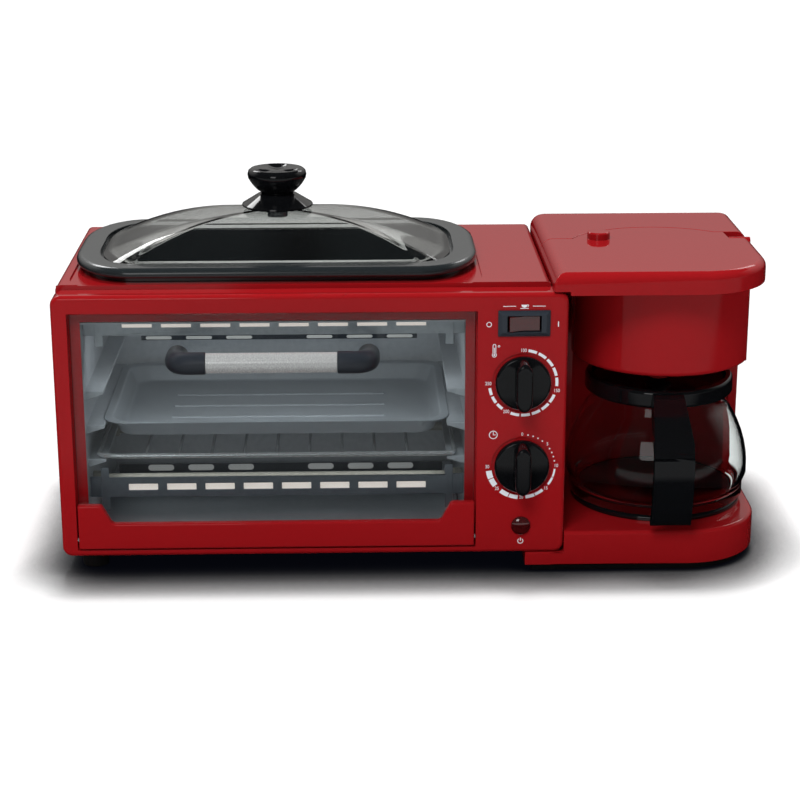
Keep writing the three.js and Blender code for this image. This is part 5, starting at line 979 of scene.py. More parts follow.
for name, z in DIAL_HEIGHTS.items():
    dial = turned(f"{name}_dial", [(0, 0.2), (DIAL_R - 0.3, 0.2), (DIAL_R, 0.6), (DIAL_R, 2.2, 0.6),
                                   (DIAL_R - 1.0, DIAL_BASE, 0.7), (DIAL_R * 0.7, DIAL_BASE + 0.75),
                                   (DIAL_R * 0.4, DIAL_BASE + 1.25), (0, DIAL_BASE + 1.5)],
                  (PANEL_X, 0, z), "Y", 96)
    grip = stacked("grip", [grip_ring(z, 0, 2), grip_ring(z, 0.1, 5)] + [
        grip_ring(z, GRIP_TAPER + GRIP_ROUND * inset, GRIP_OUT - GRIP_ROUND * (1 - depth))
        for inset, depth in quarter(6)])
    carve(dial, grip, "UNION")
    carve(dial, rod("shaft", "Y", SHAFT_R, (PANEL_X, -1, z), (PANEL_X, SHAFT_END, z), 24), "UNION")
    fit(dial, f"{name}_control", "black_gloss", f"{name}_knob", smooth=45)

# %% [markdown]
# The rocker switch has a bevelled black frame and a dark red rocker with two facets. The power lamp is a
# round red lens. Both could be see-through, but the real plastic is so dark that only its gleam shows, so
# they are solid colour under a clear coat.

# %% Switch and lamp
SWITCH_HALF_W, SWITCH_HALF_H, SWITCH_PROUD, SWITCH_SLOPE = 17.25, 8.85, 3.0, 2.6
WINDOW_HALF_W, WINDOW_HALF_H = 11.3, 5.6
SOCKET_HALF_W, SOCKET_HALF_H, SOCKET_END = 12, 6.3, 3.3


def switch_ring(inset, y):
    """The outline of the switch's frame, drawn in by an inset, at a depth."""
    half_w, half_h = SWITCH_HALF_W - inset, SWITCH_HALF_H - inset
    return upright(rectangle(PANEL_X - half_w, PANEL_X + half_w, SWITCH_Z - half_h, SWITCH_Z + half_h,
                             [0.4] * 4), y, 3)


switch_frame = stacked("switch_bezel", [switch_ring(0.1, -0.3), switch_ring(0, -0.9), switch_ring(0.25, -1.2),
                                        switch_ring(SWITCH_SLOPE, -SWITCH_PROUD + 0.1),
                                        switch_ring(SWITCH_SLOPE + 0.4, -SWITCH_PROUD)])
carve(switch_frame, block("neck", (PANEL_X - SOCKET_HALF_W, -0.6, SWITCH_Z - SOCKET_HALF_H),
                          (PANEL_X + SOCKET_HALF_W, SOCKET_END, SWITCH_Z + SOCKET_HALF_H)), "UNION")
carve(switch_frame, block("window", (PANEL_X - WINDOW_HALF_W, -PAST, SWITCH_Z - WINDOW_HALF_H),
                          (PANEL_X + WINDOW_HALF_W, PAST, SWITCH_Z + WINDOW_HALF_H)))
fit(switch_frame, "appliance", "black_matte", "switch_frame")
# a satin nylon frame: it shows more of the room than the grained plinth does
switch_frame.data.materials[0] = finish("satin_blue_black_nylon",
                                        {"Base Color": colour("#2a3038"), "Roughness": 0.3, "IOR": 1.5},
                                        {"Roughness": (0.26, 0.36)}, bump=0.3, grain_mm=0.8, depth_mm=0.01)
rocker_low, rocker_high = span("switch_rocker")
ROCKER_HALF, ROCKER_TILT, ROCKER_Y = 10.2, 0.17, -1.0
rocker_shape = [(-ROCKER_HALF, -1.9, 0.4), (0, 0.1), (ROCKER_HALF, -1.9, 0.4), (ROCKER_HALF, 1.2),
                (ROCKER_HALF * 0.6, 6), (-ROCKER_HALF * 0.6, 6), (-ROCKER_HALF, 1.2)]
tilt = Matrix.Rotation(ROCKER_TILT, 2)
flat = [tilt @ p for p in rounded(rocker_shape, 4)]
rocker = stacked("switch_rocker_cap", [[(PANEL_X + p.x, ROCKER_Y + p.y, z) for p in flat]
                                       for z in (rocker_low.z, rocker_high.z)])
round_edges(rocker, 0.35, 3, 40)
fit(rocker, "rocker", "red_lens", "switch_rocker")
LAMP_R, LAMP_PROUD = 6.6, 2.8
lens_profile = [(0, -3), (5, -3), (5, 0.3), (LAMP_R, 0.3), (LAMP_R, 0.8), (LAMP_R * 0.95, 1.2),
                (LAMP_R * 0.8, 1.9), (LAMP_R * 0.5, 2.6), (0, LAMP_PROUD)]
lens = turned("power_lamp_lens", lens_profile, (PANEL_X, 0, LAMP_Z), "Y", 64)
fit(lens, "appliance", "red_lens", "power_lamp", smooth=60)

# %% [markdown]
# The panel is printed in white ink: plain numbers and scales round the dials, and simple signs for
# temperature, time, off, on, coffee and power. A picture on the panel would blur close by, so each sign is
# a thin shape with sharp edges. Ink is a few hundredths of a millimetre thick and lies just off the panel.

# %% Printing on the panel
INK_Y, INK_DEEP = -0.05, 0.04
ink = finish("white_printing_ink", {"Base Color": colour("#dfe3ea"), "Roughness": 0.5},
             {"Base Color": (colour("#d3d8e2"), colour("#eceef2")), "Roughness": (0.45, 0.6)},
             bump=0.2, grain_mm=0.6, depth_mm=0.01)
printed = []


def ink_shape(places):
    """A flat shape from places (across, up) on the panel."""
    bpy.ops.object.select_all(action="DESELECT")
    bpy.ops.mesh.primitive_circle_add(vertices=len(places), radius=MM, fill_type="NGON")
    shape = bpy.context.object
    bpy.ops.object.mode_set(mode="EDIT")
    mesh = bmesh.from_edit_mesh(shape.data)
    for vertex, (x, z) in zip(mesh.verts, places):
        vertex.co = at(x, INK_Y, z)
    bmesh.update_edit_mesh(shape.data)
    bpy.ops.mesh.select_all(action="SELECT")
    bpy.ops.mesh.extrude_region_move(TRANSFORM_OT_translate={"value": (0, INK_DEEP * MM, 0)})
    bpy.ops.mesh.select_all(action="SELECT")
    bpy.ops.mesh.normals_make_consistent(inside=False)
    bpy.ops.object.mode_set(mode="OBJECT")
    printed.append(shape)


def on_clock(centre, radius, degrees):
    """A place at a radius and a clockwise angle from the top."""
    a = math.radians(degrees)
    return centre[0] + radius * math.sin(a), centre[1] + radius * math.cos(a)


def ink_arc(centre, inner, outer, start, end, steps=10):
    """A piece of a ring between two clockwise angles."""
    turns = [start + (end - start) * i / steps for i in range(steps + 1)]
    ink_shape([on_clock(centre, outer, a) for a in turns] + [on_clock(centre, inner, a) for a in turns[::-1]])


def ink_dot(centre, radius):
    """A round dot."""
    ink_shape([on_clock(centre, radius, 360 * i / 16) for i in range(16)])


def ink_bar(start, end, width):
    """A straight stroke between two places."""
    a, b = Vector(start), Vector(end)
    across = (b - a).normalized().orthogonal() * width / 2
    ink_shape([tuple(a + across), tuple(b + across), tuple(b - across), tuple(a - across)])


def ink_number(text, centre, height):
    """A number in the plain built-in typeface, made a mesh before it gets its place."""
    bpy.ops.object.select_all(action="DESELECT")
    bpy.ops.object.text_add()
    words = bpy.context.object
    words.data.body = text
    words.data.size = height / 0.72 * MM
    words.data.extrude = INK_DEEP / 2 * MM
    words.data.align_x = "CENTER"
    words.data.align_y = "CENTER"
    bpy.ops.object.convert(target="MESH")
    words.rotation_euler = (math.pi / 2, 0, 0)
    words.location = at(centre[0], INK_Y, centre[1])
    words.scale.x = NUMBER_NARROW
    bpy.ops.object.transform_apply(location=True, rotation=True, scale=True)
    printed.append(words)


def dial_numbers(centre, numbers):
    """Numbers round a dial. Those at its sides stand a little further out, because they are wide."""
    for degrees, text in numbers:
        radius = NUMBER_R + NUMBER_SIDE * abs(math.sin(math.radians(degrees)))
        ink_number(text, on_clock(centre, radius, degrees), NUMBER_H)


NUMBER_NARROW, NUMBER_SIDE = 0.85, 0.8
TEMPERATURE = (PANEL_X, DIAL_HEIGHTS["temperature"])
TIMER = (PANEL_X, DIAL_HEIGHTS["timer"])
NUMBER_R, NUMBER_H = 22.4, 2.4
dial_numbers(TEMPERATURE, ((0, "100"), (104, "150"), (209, "200"), (269, "250")))
DASH_IN, DASH_OUT, LABEL_ROOM, DASH_GAP = 21.5, 23.4, 8, 3.4
for first, last, count in ((0, 104, 5), (104, 209, 5), (209, 269, 3)):
    room = (last - first - 2 * LABEL_ROOM + DASH_GAP) / count
    for i in range(count):
        dash_start = first + LABEL_ROOM + i * room
        ink_arc(TEMPERATURE, DASH_IN, DASH_OUT, dash_start, dash_start + room - DASH_GAP)
dial_numbers(TIMER, ((0, "0"), (48, "5"), (90, "10"), (134, "15"), (180, "20"), (226, "25"), (269, "30")))
DOT_R, DOT_RING, SEGMENT_R, SEGMENT_THIN, SEGMENT_WIDE = 0.5, 22.2, 22.4, 0.6, 2.0
for first, last in ((0, 48), (48, 90)):
    for i in range(4):
        ink_dot(on_clock(TIMER, DOT_RING, first + (last - first) * (i + 1.1) / 5.2), DOT_R)
for first, last in ((90, 134), (134, 180), (180, 226), (226, 269)):
    room = (last - first - 2 * 6) / 2
    for i in range(2):
        arc_start = first + 6 + i * room
        half = SEGMENT_THIN + (SEGMENT_WIDE - SEGMENT_THIN) * (arc_start - 96) / 160
        ink_arc(TIMER, SEGMENT_R - half, SEGMENT_R + half, arc_start, arc_start + room - 1.5)

print("numbers and scales:", len(printed), "shapes")

# %% Signs on the panel
SIGN_X = 121.2
CLOCK = (SIGN_X, 84.6)
ink_arc(CLOCK, 2.4, 2.9, 0, 359.9, 32)
ink_bar(CLOCK, (CLOCK[0], CLOCK[1] + 2), 0.45)
ink_bar((CLOCK[0] - 0.2, CLOCK[1]), (CLOCK[0] + 1.6, CLOCK[1]), 0.45)
THERMOMETER = (SIGN_X, 142.6)
ink_arc((THERMOMETER[0], THERMOMETER[1] + 4), 0.7, 1.15, -90, 90, 12)
ink_bar((THERMOMETER[0] - 0.92, THERMOMETER[1] + 4), (THERMOMETER[0] - 0.92, THERMOMETER[1] - 1.4), 0.45)
ink_bar((THERMOMETER[0] + 0.92, THERMOMETER[1] + 4), (THERMOMETER[0] + 0.92, THERMOMETER[1] - 1.4), 0.45)
ink_arc((THERMOMETER[0], THERMOMETER[1] - 2.4), 1.15, 1.6, 35, 325, 24)
ink_dot((THERMOMETER[0], THERMOMETER[1] - 2.4), 0.7)
ink_bar((THERMOMETER[0], THERMOMETER[1] - 2.4), (THERMOMETER[0], THERMOMETER[1] + 2.6), 0.5)
ink_arc((THERMOMETER[0] + 3, THERMOMETER[1] + 3.6), 0.4, 0.75, 0, 359.9, 16)
OFF_SIGN, ON_SIGN = (117.5, SWITCH_Z - 0.8), (163.2, SWITCH_Z - 0.8)
ink_arc(OFF_SIGN, 1.3, 1.8, 0, 359.9, 24)
ink_bar((ON_SIGN[0], ON_SIGN[1] - 1.8), (ON_SIGN[0], ON_SIGN[1] + 1.8), 0.6)
CUP = (PANEL_X, 174.0)
ink_arc((CUP[0], CUP[1] + 0.4), 0, 2.0, 90, 270, 12)
ink_arc((CUP[0] + 2.0, CUP[1] - 0.2), 0.5, 0.9, 0, 180, 10)
ink_bar((CUP[0] - 2.8, CUP[1] - 2.1), (CUP[0] + 2.8, CUP[1] - 2.1), 0.45)
for side in (-1, 1):
    ink_bar((CUP[0] + side * 5.5, CUP[1] - 0.6), (CUP[0] + side * 14, CUP[1] - 0.6), 0.4)
POWER = (PANEL_X, 8.4)
ink_arc(POWER, 1.5, 2.0, 35, 325, 28)
ink_bar((POWER[0], POWER[1]), (POWER[0], POWER[1] + 2.4), 0.5)
take(printed[0])
for shape in printed:
    shape.select_set(True)
bpy.ops.object.join()
printing = bpy.context.object
printing.name = "panel_printing"
printing.data.name = printing.name
printing.data.materials.clear()
printing.data.materials.append(ink)
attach(printing, "appliance")
print("printed shapes:", len(printed), "faces:", len(printing.data.polygons))

# %% [markdown]
# The carafe is blown in clear glass with a thick foot band. Its collar, lid and strap are gloss black. The
# glass is spun as a closed skin, inside and outside, because its dark edge lines come from a real wall
# that bends the light twice.

# %% Carafe
CARAFE_FOOT, BAND_R, BAND_TOP, BELLY_R, BELLY_Z, NECK_R, NECK_Z = 19.1, 61.5, 28.6, 64, 39.1, 46.5, 88
CARAFE_WALL, LIP_TOP = 2.2, 99.6


def carafe_profile(inset):
    """The carafe's belly and neck as (radius, height), from the foot band upwards."""
    foot = [(BAND_R - inset, BAND_TOP, 1.5), (BELLY_R - inset, BELLY_Z - 4)]
    rise = [(NECK_R - inset + (BELLY_R - NECK_R) * (1 - s ** 2), BELLY_Z + (NECK_Z - BELLY_Z) * s)
            for s in (0.1, 0.2, 0.35, 0.5, 0.65, 0.8, 0.9, 1)]
    return foot + rise


foot_outside = [(0, CARAFE_FOOT), (BAND_R - 1, CARAFE_FOOT), (BAND_R, CARAFE_FOOT + 1)]
mouth = [(NECK_R, LIP_TOP - 1.5), (NECK_R - 0.6, LIP_TOP), (NECK_R - CARAFE_WALL, LIP_TOP)]
foot_inside = [(BAND_R - CARAFE_WALL * 1.5, BAND_TOP), (BAND_R - CARAFE_WALL * 2.4, CARAFE_FOOT + 4, 3),
               (0, CARAFE_FOOT + CARAFE_WALL)]
wall = foot_outside + carafe_profile(0) + mouth + carafe_profile(CARAFE_WALL)[::-1][:-1] + foot_inside
carafe_glass = turned("carafe_glass_bowl", wall, (DRUM_X, DRUM_Y, 0), steps=128)
fit(carafe_glass, "carafe", "clear_glass", "carafe_glass", smooth=60)
collar = turned("carafe_collar_band", [(46.8, 93.6), (50.6, 93.6), (51.7, 94.8, 0.6), (51.7, 104.2, 1.4),
                                       (50.2, 105.6, 0.6), (46.8, 105.6), (46.8, 93.6)], (DRUM_X, DRUM_Y, 0))
fit(collar, "carafe", "black_gloss", "carafe_collar")

# %% [markdown]
# The strap is a moulded band. Its side view is drawn once and pulled out across, which keeps its thickness
# right everywhere. A second block narrows it towards the top, and a cylinder makes room for the collar.

# %% Strap handle
STRAP_X, STRAP_HALF, STRAP_TOP_HALF = 241.5, 13.5, 9.75
ROOT_Y, STRAP_INNER, STRAP_TOP, STRAP_FOOT = 25, -11, 104.6, 20.8
shape = [(ROOT_Y, STRAP_TOP), (ROOT_Y - 6, STRAP_TOP, 3), (STRAP_INNER - 2.4, STRAP_TOP - 25.2, 8),
         (STRAP_INNER - 6, STRAP_TOP - 39.6, 10), (STRAP_INNER - 4.2, STRAP_FOOT + 18, 12),
         (STRAP_INNER + 2.4, STRAP_FOOT, 2.4), (STRAP_INNER + 8.4, STRAP_FOOT, 2.4),
         (STRAP_INNER + 1.8, STRAP_FOOT + 18, 10), (STRAP_INNER, STRAP_TOP - 38.4, 8),
         (STRAP_INNER + 3, STRAP_TOP - 26.4, 8), (ROOT_Y - 3.6, STRAP_TOP - 9.6, 3),
         (ROOT_Y, STRAP_TOP - 8.4)]
flat = rounded(shape, 6)
strap = stacked("carafe_strap", [[(x, p.x, p.y) for p in flat]
                                 for x in (STRAP_X - STRAP_HALF, STRAP_X + STRAP_HALF)])
TAPER_FOOT, TAPER_START, TAPER_REACH, COLLAR_GAP_R = 15, 24, 40, 52.3
taper = stacked("taper", [[(STRAP_X - STRAP_HALF, y, TAPER_FOOT), (STRAP_X + STRAP_HALF, y, TAPER_FOOT),
                           (STRAP_X + STRAP_HALF, y, STRAP_TOP - TAPER_START),
                           (STRAP_X + STRAP_TOP_HALF, y, STRAP_TOP + PAST),
                           (STRAP_X - STRAP_TOP_HALF, y, STRAP_TOP + PAST),
                           (STRAP_X - STRAP_HALF, y, STRAP_TOP - TAPER_START)]
                          for y in (-TAPER_REACH, TAPER_REACH)])
carve(strap, taper, "INTERSECT")
carve(strap, rod("collar_gap", "Z", COLLAR_GAP_R, (DRUM_X, DRUM_Y, 80), (DRUM_X, DRUM_Y, 120), 96))
round_edges(strap, 1.1, 3, 40)
fit(strap, "carafe", "black_gloss", "carafe_handle", smooth=45)

# %% [markdown]
# The carafe's lid is a shallow dish, and the hot plate is a coated disc in a black ring. All three are
# round, so each is one spun profile.

# %% Carafe lid and hot plate
carafe_lid = turned("carafe_lid_disc", [(7, 99.9), (46.2, 99.9), (46.5, 100.2), (46.5, 102.6), (46.2, 102.9),
                                        (43.6, 102.9), (42.6, 102.4), (40.4, 102.2), (12, 101.6), (7, 101.8),
                                        (7, 99.9)], (DRUM_X, DRUM_Y, 0))
fit(carafe_lid, "carafe", "black_gloss", "carafe_lid")
PLATE_FOOT, PLATE_TOP, PLATE_R, RING_R, RING_TOP = 14.8, 18.8, 55.7, 60, 18.4
hot_plate = turned("hot_plate_disc", [(0, 17.4), (53, 17.4), (53, PLATE_FOOT), (PLATE_R, PLATE_FOOT),
                                      (PLATE_R, PLATE_TOP, 1.2), (0, PLATE_TOP)], (DRUM_X, DRUM_Y, 0))
fit(hot_plate, "appliance", "dark_coated_steel", "hot_plate")
# the plate's non-stick coat is much darker than the tray's
hot_plate.data.materials[0] = finish("black_nonstick_plate",
                                     {"Base Color": colour("#141517"), "Roughness": 0.3, "IOR": 1.5},
                                     {"Roughness": (0.24, 0.4)}, bump=0.4, grain_mm=0.8, depth_mm=0.015)
plate_ring = turned("hot_plate_edge", [(56, PLATE_FOOT), (RING_R, PLATE_FOOT), (RING_R, RING_TOP, 2.2),
                                       (56, RING_TOP, 1), (56, PLATE_FOOT)], (DRUM_X, DRUM_Y, 0))
fit(plate_ring, "appliance", "black_gloss", "hot_plate_ring")

# %% [markdown]
# The baking tray is pressed from coated sheet, with a flat rim, round corners and three ribs across its
# floor. A solid with a bevel would have no thickness of sheet at its rim, so it is laid ring by ring, out
# and in again. The rack is chromed wire: a frame bent from one length, and nine bars set across it.

# %% Baking tray
TRAY_HALF_W, TRAY_HALF_D, TRAY_Y, TRAY_CORNER = 118, 72.5, 97.5, 16


def tray_ring(inset, z):
    """The tray's outline, drawn in by an inset, at a height."""
    corner = TRAY_CORNER - min(inset, 6) * 0.6
    return level(rectangle(HANDLE_X - TRAY_HALF_W + inset, HANDLE_X + TRAY_HALF_W - inset,
                           TRAY_Y - TRAY_HALF_D + inset, TRAY_Y + TRAY_HALF_D - inset, [corner] * 4), z, 10)


tray_outside = [(13, 74.7), (11, 74.9), (9.8, 76), (6.0, 85.2), (5.2, 86.1), (4.2, 86.2), (0.3, 86.2),
                (0, 86.6), (0, 87.0), (0.3, 87.4)]
tray_inside = [(4.8, 87.4), (5.8, 87.1), (6.6, 86.2), (10.6, 77.2), (11.8, 76.1), (14, 75.9)]
tray = stacked("baking_tray_sheet", [tray_ring(*step) for step in tray_outside + tray_inside])
RIB_HALF_L, RIB_HALF_W, RIB_HIGH, RIB_PITCH = 75, 1.6, 0.9, 26
for i in (-1, 0, 1):
    middle_y = TRAY_Y + i * RIB_PITCH
    rib = stacked("rib", [level(rectangle(HANDLE_X - RIB_HALF_L + inset, HANDLE_X + RIB_HALF_L - inset,
                                          middle_y - RIB_HALF_W + inset, middle_y + RIB_HALF_W - inset,
                                          [1.2 - inset * 0.7] * 4), z, 4)
                          for inset, z in ((0, 75.3), (0, 76.1), (0.4, 76.6), (1.0, 75.9 + RIB_HIGH))])
    carve(tray, rib, "UNION")
fit(tray, "tray", "dark_coated_steel", "baking_tray", smooth=50)

# %% Wire rack
RACK_LEFT, RACK_RIGHT, RACK_FRONT, RACK_BACK, RACK_Z = -147.7, 98.3, 22, 168, 63.9
RACK_WIRE, BAR_WIRE, BAR_COUNT, BAR_START, WIRE_CORNER = 1.7, 1.1, 9, 34, 7
loop = []
for x, y, dx, dy in ((RACK_LEFT, RACK_FRONT, 1, 1), (RACK_RIGHT, RACK_FRONT, -1, 1),
                     (RACK_RIGHT, RACK_BACK, -1, -1), (RACK_LEFT, RACK_BACK, 1, -1)):
    wire_x, wire_y = x + dx * RACK_WIRE, y + dy * RACK_WIRE
    ends = [(wire_x, wire_y + dy * WIRE_CORNER), (wire_x, wire_y), (wire_x + dx * WIRE_CORNER, wire_y)]
    loop += [(a, b, RACK_Z) for a, b in (ends if dx == dy else ends[::-1])]
rack = bent("wire_rack_grid", loop + [loop[0]], RACK_WIRE, 6, 6)
parts = [rack]
for i in range(BAR_COUNT):
    x = RACK_LEFT + BAR_START + i * (RACK_RIGHT - RACK_LEFT - 2 * BAR_START) / (BAR_COUNT - 1)
    parts.append(rod("bar", "Y", BAR_WIRE, (x, RACK_FRONT + RACK_WIRE, RACK_Z),
                     (x, RACK_BACK - RACK_WIRE, RACK_Z), 16))
take(rack)
for part in parts:
    part.select_set(True)
bpy.ops.object.join()
fit(rack, "rack", "bright_steel", "wire_rack", smooth=50)

# %% [markdown]
# The sheets of the oven, the coffee maker's column and plinth and the feet keep the shape of their CAD
# solids. A copy of each is merged, cleaned of needless edges and given the small round that a folded,
# stamped or moulded edge has. They could be modelled again, but their shape is right already. Only the
# rear wall is made new, as a plain sheet, because the vent bands in front of it carry its slots.

# %% Softened copies


def softened(node, name, width_mm):
    """A copy of one of the machine's fixed solids with its edges rounded, in the place of that solid."""
    piece = nodes[node].copy()
    piece.data = nodes[node].data.copy()
    bpy.context.collection.objects.link(piece)
    piece.name = name
    place = nodes[node].matrix_world.copy()
    piece.parent = None
    piece.matrix_world = place
    take(piece)
    bpy.ops.object.transform_apply(location=True, rotation=True, scale=True)
    bpy.ops.object.mode_set(mode="EDIT")
    bpy.ops.mesh.select_all(action="SELECT")
    bpy.ops.mesh.remove_doubles(threshold=0.002 * MM)
    bpy.ops.mesh.dissolve_limited(angle_limit=math.radians(1))
    bpy.ops.object.mode_set(mode="OBJECT")
    round_edges(piece, width_mm, 2)
    return fit(piece, "appliance", slot_of[node], node, smooth=25)


for node, name, width in (
        ("cavity_wall_left", "cavity_side_left", 0.4), ("cavity_wall_right", "cavity_side_right", 0.4),
        ("crumb_tray", "crumb_tray_sheet", 0.3),
        ("upper_heater_guard", "upper_guard_strip", 0.3), ("lower_heater_guard", "lower_guard_strip", 0.3),
        ("coffee_column", "red_coffee_column", 0.8), ("coffee_plinth", "black_plinth", 0.8),
        ("rear_cover", "red_rear_cover", 0.3), ("foot_left_front", "rubber_foot_front", 1.0),
        ("foot_left_rear", "rubber_foot_rear", 1.0)):
    softened(node, name, width)
rear_wall = round_edges(block("cavity_rear_wall", *span("cavity_back")), 0.3, 2)
fit(rear_wall, "appliance", "cavity_steel", "cavity_back", smooth=25)

bpy.data.objects["lower_guard_strip"].data.materials[0] = finish(
    # painted shade: the lower guard is coloured darker and bluer than the sheet above it
    "heat_tinted_steel_sheet", {"Base Color": colour("#757b83"), "Roughness": 0.32, "Metallic": 0.6},
    {"Base Color": (colour("#6d737b"), colour("#7e848c")), "Roughness": (0.26, 0.4)},
    bump=0.3, grain_mm=4.0, depth_mm=0.02)

# %% [markdown]
# Behind the slots of both guards lies a bright strip of polished sheet, which throws the heat into the
# oven. Through the slots it shows almost white. A sheet that only mirrors would need an exact room to do
# so, so this one glows a little by itself: that glow is painted light, for the strip is no lamp.

# %% Reflectors
# painted light: the strip's emission makes it glow though it is no lamp
reflector_with_painted_glow = finish("polished_reflector_sheet",
                  {"Base Color": colour("#f2e9e4"), "Roughness": 0.3, "Metallic": 0.2,
                   "Emission Color": colour("#fff0e6"), "Emission Strength": 0.55},
                  {"Roughness": (0.25, 0.4)}, bump=0.2, grain_mm=3.0, depth_mm=0.01)
REFLECTOR_END, REFLECTOR_HALF = 11, 3.3
for word, slot_z in (("upper", 156.2), ("lower", 40.9)):
    low, high = span(f"{word}_heater_guard")
    print(word, "guard:", tuple(round(v, 1) for v in low), tuple(round(v, 1) for v in high))
    slot_strip = block(f"{word}_reflector", (low.x + REFLECTOR_END, high.y + 0.3, slot_z - REFLECTOR_HALF),
                       (high.x - REFLECTOR_END, high.y + 0.7, slot_z + REFLECTOR_HALF))
    round_edges(slot_strip, 0.1, 2)
    slot_strip.data.materials.append(reflector_with_painted_glow)
    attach(slot_strip, "appliance")
print("reflectors made")

# %% [markdown]
# Two dark bands with six rounded slots each cross the rear of the oven, one under the upper guard and one
# where the rear wall meets the crumb tray. Light sheet behind them shows through the slots, and it glows
# faintly by itself, which is painted light. The slots are cut through and not painted on, because their
# edges catch the oven's light.

# %% Vent bands
VENT_X, VENT_PITCH, VENT_HALF_L, VENT_PLACES = -27, 30, 9.7, (-3, -2, -1, 1, 2, 3)
BAND_THICK = 0.5
# painted light: the backing sheet's faint emission makes it glow though it is no lamp
backing_sheet_painted_glow = finish("dull_light_sheet", {"Base Color": colour("#c8c9c7"), "Roughness": 0.5, "Metallic": 0.1,
                                         "Emission Color": colour("#ffffff"), "Emission Strength": 0.12},
                    {"Roughness": (0.4, 0.6)}, bump=0.2, grain_mm=3.0, depth_mm=0.01)
# the bands are coloured a dark blue-grey
dark_sheet = finish("blued_dark_sheet", {"Base Color": colour("#3a3f47"), "Roughness": 0.4, "Metallic": 0.4},
                    {"Base Color": (colour("#343941"), colour("#41464e")), "Roughness": (0.35, 0.5)},
                    bump=0.3, grain_mm=1.2, depth_mm=0.02)
for word, half_w, low_z, high_z, slot_low, slot_high, band_y in (
        ("upper", 103, 103.0, 108.6, 103.5, 106.0, 175.2), ("lower", 121.5, 4.6, 11.7, 6.2, 11.0, 156.5)):
    band = block(f"{word}_vent_band", (VENT_X - half_w, band_y, low_z),
                 (VENT_X + half_w, band_y + BAND_THICK, high_z))
    end_r = (slot_high - slot_low) / 2
    for share in VENT_PLACES:
        x, z = VENT_X + share * VENT_PITCH, (slot_low + slot_high) / 2
        outline = rectangle(x - VENT_HALF_L, x + VENT_HALF_L, slot_low, slot_high, [end_r * 0.99] * 4)
        carve(band, stacked("slot", [upright(outline, y, 5) for y in (band_y - 2, band_y + 2)]))
    backing = block(f"{word}_vent_backing", (VENT_X - half_w + 2, band_y + 0.6, low_z + 0.3),
                    (VENT_X + half_w - 2, band_y + 0.9, high_z - 0.3))
    for piece, sheet in ((band, dark_sheet), (backing, backing_sheet_painted_glow)):
        round_edges(piece, 0.08, 2)
        piece.data.materials.clear()
        piece.data.materials.append(sheet)
        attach(piece, "appliance")
print("vent bands made")

# %% [markdown]
# A white floor takes a soft shadow from the lamps. It is lit like the object, and a glow that only a straight
# look gets lifts it to pure white. Both are darkened to blue-black close to where the machine stands, by how
# much of the floor's view the machine hides within a few centimetres: a painted shadow over the real one. A
# look that was mirrored on its way, also inside a pane, finds the dark studio instead, where the floor is
# painted black near the machine as a painted shadow and grey further out, so the glass keeps its depth. A
# plain white floor would do without this, but it would lie over the glass like a veil.

# %% White for a straight look


def straight_look(owner):
    """Two values of 0 or 1. The first is 1 for a look from the camera, or on through glass without having
    been mirrored. The second is 1 for any look off gloss or through glass."""
    rays = add(owner, "ShaderNodeLightPath")
    unmirrored = add(owner, "ShaderNodeMath", {"operation": "LESS_THAN", 1: 0.5},
                     {0: rays.outputs["Glossy Depth"]})
    through = add(owner, "ShaderNodeMath", {"operation": "MULTIPLY"},
                  {0: rays.outputs["Is Transmission Ray"], 1: unmirrored.outputs[0]})
    straight = add(owner, "ShaderNodeMath", {"operation": "MAXIMUM"},
                   {0: rays.outputs["Is Camera Ray"], 1: through.outputs[0]})
    mirrored = add(owner, "ShaderNodeMath", {"operation": "MAXIMUM"},
                   {0: rays.outputs["Is Glossy Ray"], 1: rays.outputs["Is Transmission Ray"]})
    return straight.outputs[0], mirrored.outputs[0]


print("white is kept for a straight look")

# %% Floor
FLOOR_SIDE = 16
SHADOW_REACH, SHADOW_DEPTH = 0.045, 5.0
GLOW_LEVEL, GLOW_SHARE = 1.3, 0.35
NEAR_FLOOR, FAR_FLOOR = -0.24, -0.34
bpy.ops.object.select_all(action="DESELECT")
bpy.ops.mesh.primitive_plane_add(size=FLOOR_SIDE, location=(0, FLOOR_SIDE / 4, 0))
bpy.ops.object.transform_apply(location=True, rotation=True, scale=True)
floor = bpy.context.object
floor.name = "studio_floor"
paper = bpy.data.materials.new("white_paper_sweep")
paper.use_nodes = True
paper.node_tree.nodes.clear()
# painted shadow: the floor's colour and glow darken to blue-black where the machine stands close by
near = add(paper, "ShaderNodeAmbientOcclusion", {"Distance": SHADOW_REACH, "samples": 16})
painted_shadow_share = add(paper, "ShaderNodeMath", {"operation": "POWER", 1: SHADOW_DEPTH}, {0: near.outputs["AO"]})
shade = add(paper, "ShaderNodeMix", {"data_type": "RGBA", 6: colour("#0a0c14"), 7: colour("#ffffff")},
            {0: painted_shadow_share.outputs[0]})
matt = add(paper, "ShaderNodeBsdfDiffuse", {}, {"Color": shade.outputs[2]})
glow = add(paper, "ShaderNodeEmission", {"Strength": GLOW_LEVEL}, {"Color": shade.outputs[2]})
seen_paper = add(paper, "ShaderNodeMixShader", {0: GLOW_SHARE}, {1: matt.outputs[0], 2: glow.outputs[0]})
plain = add(paper, "ShaderNodeBsdfDiffuse", {"Color": colour("#f4f4f4")})
spot = add(paper, "ShaderNodeTexCoord")
split = add(paper, "ShaderNodeSeparateXYZ", {}, {0: spot.outputs["Object"]})
far = add(paper, "ShaderNodeMapRange", {"From Min": NEAR_FLOOR, "From Max": FAR_FLOOR},
          {"Value": split.outputs["Y"]})
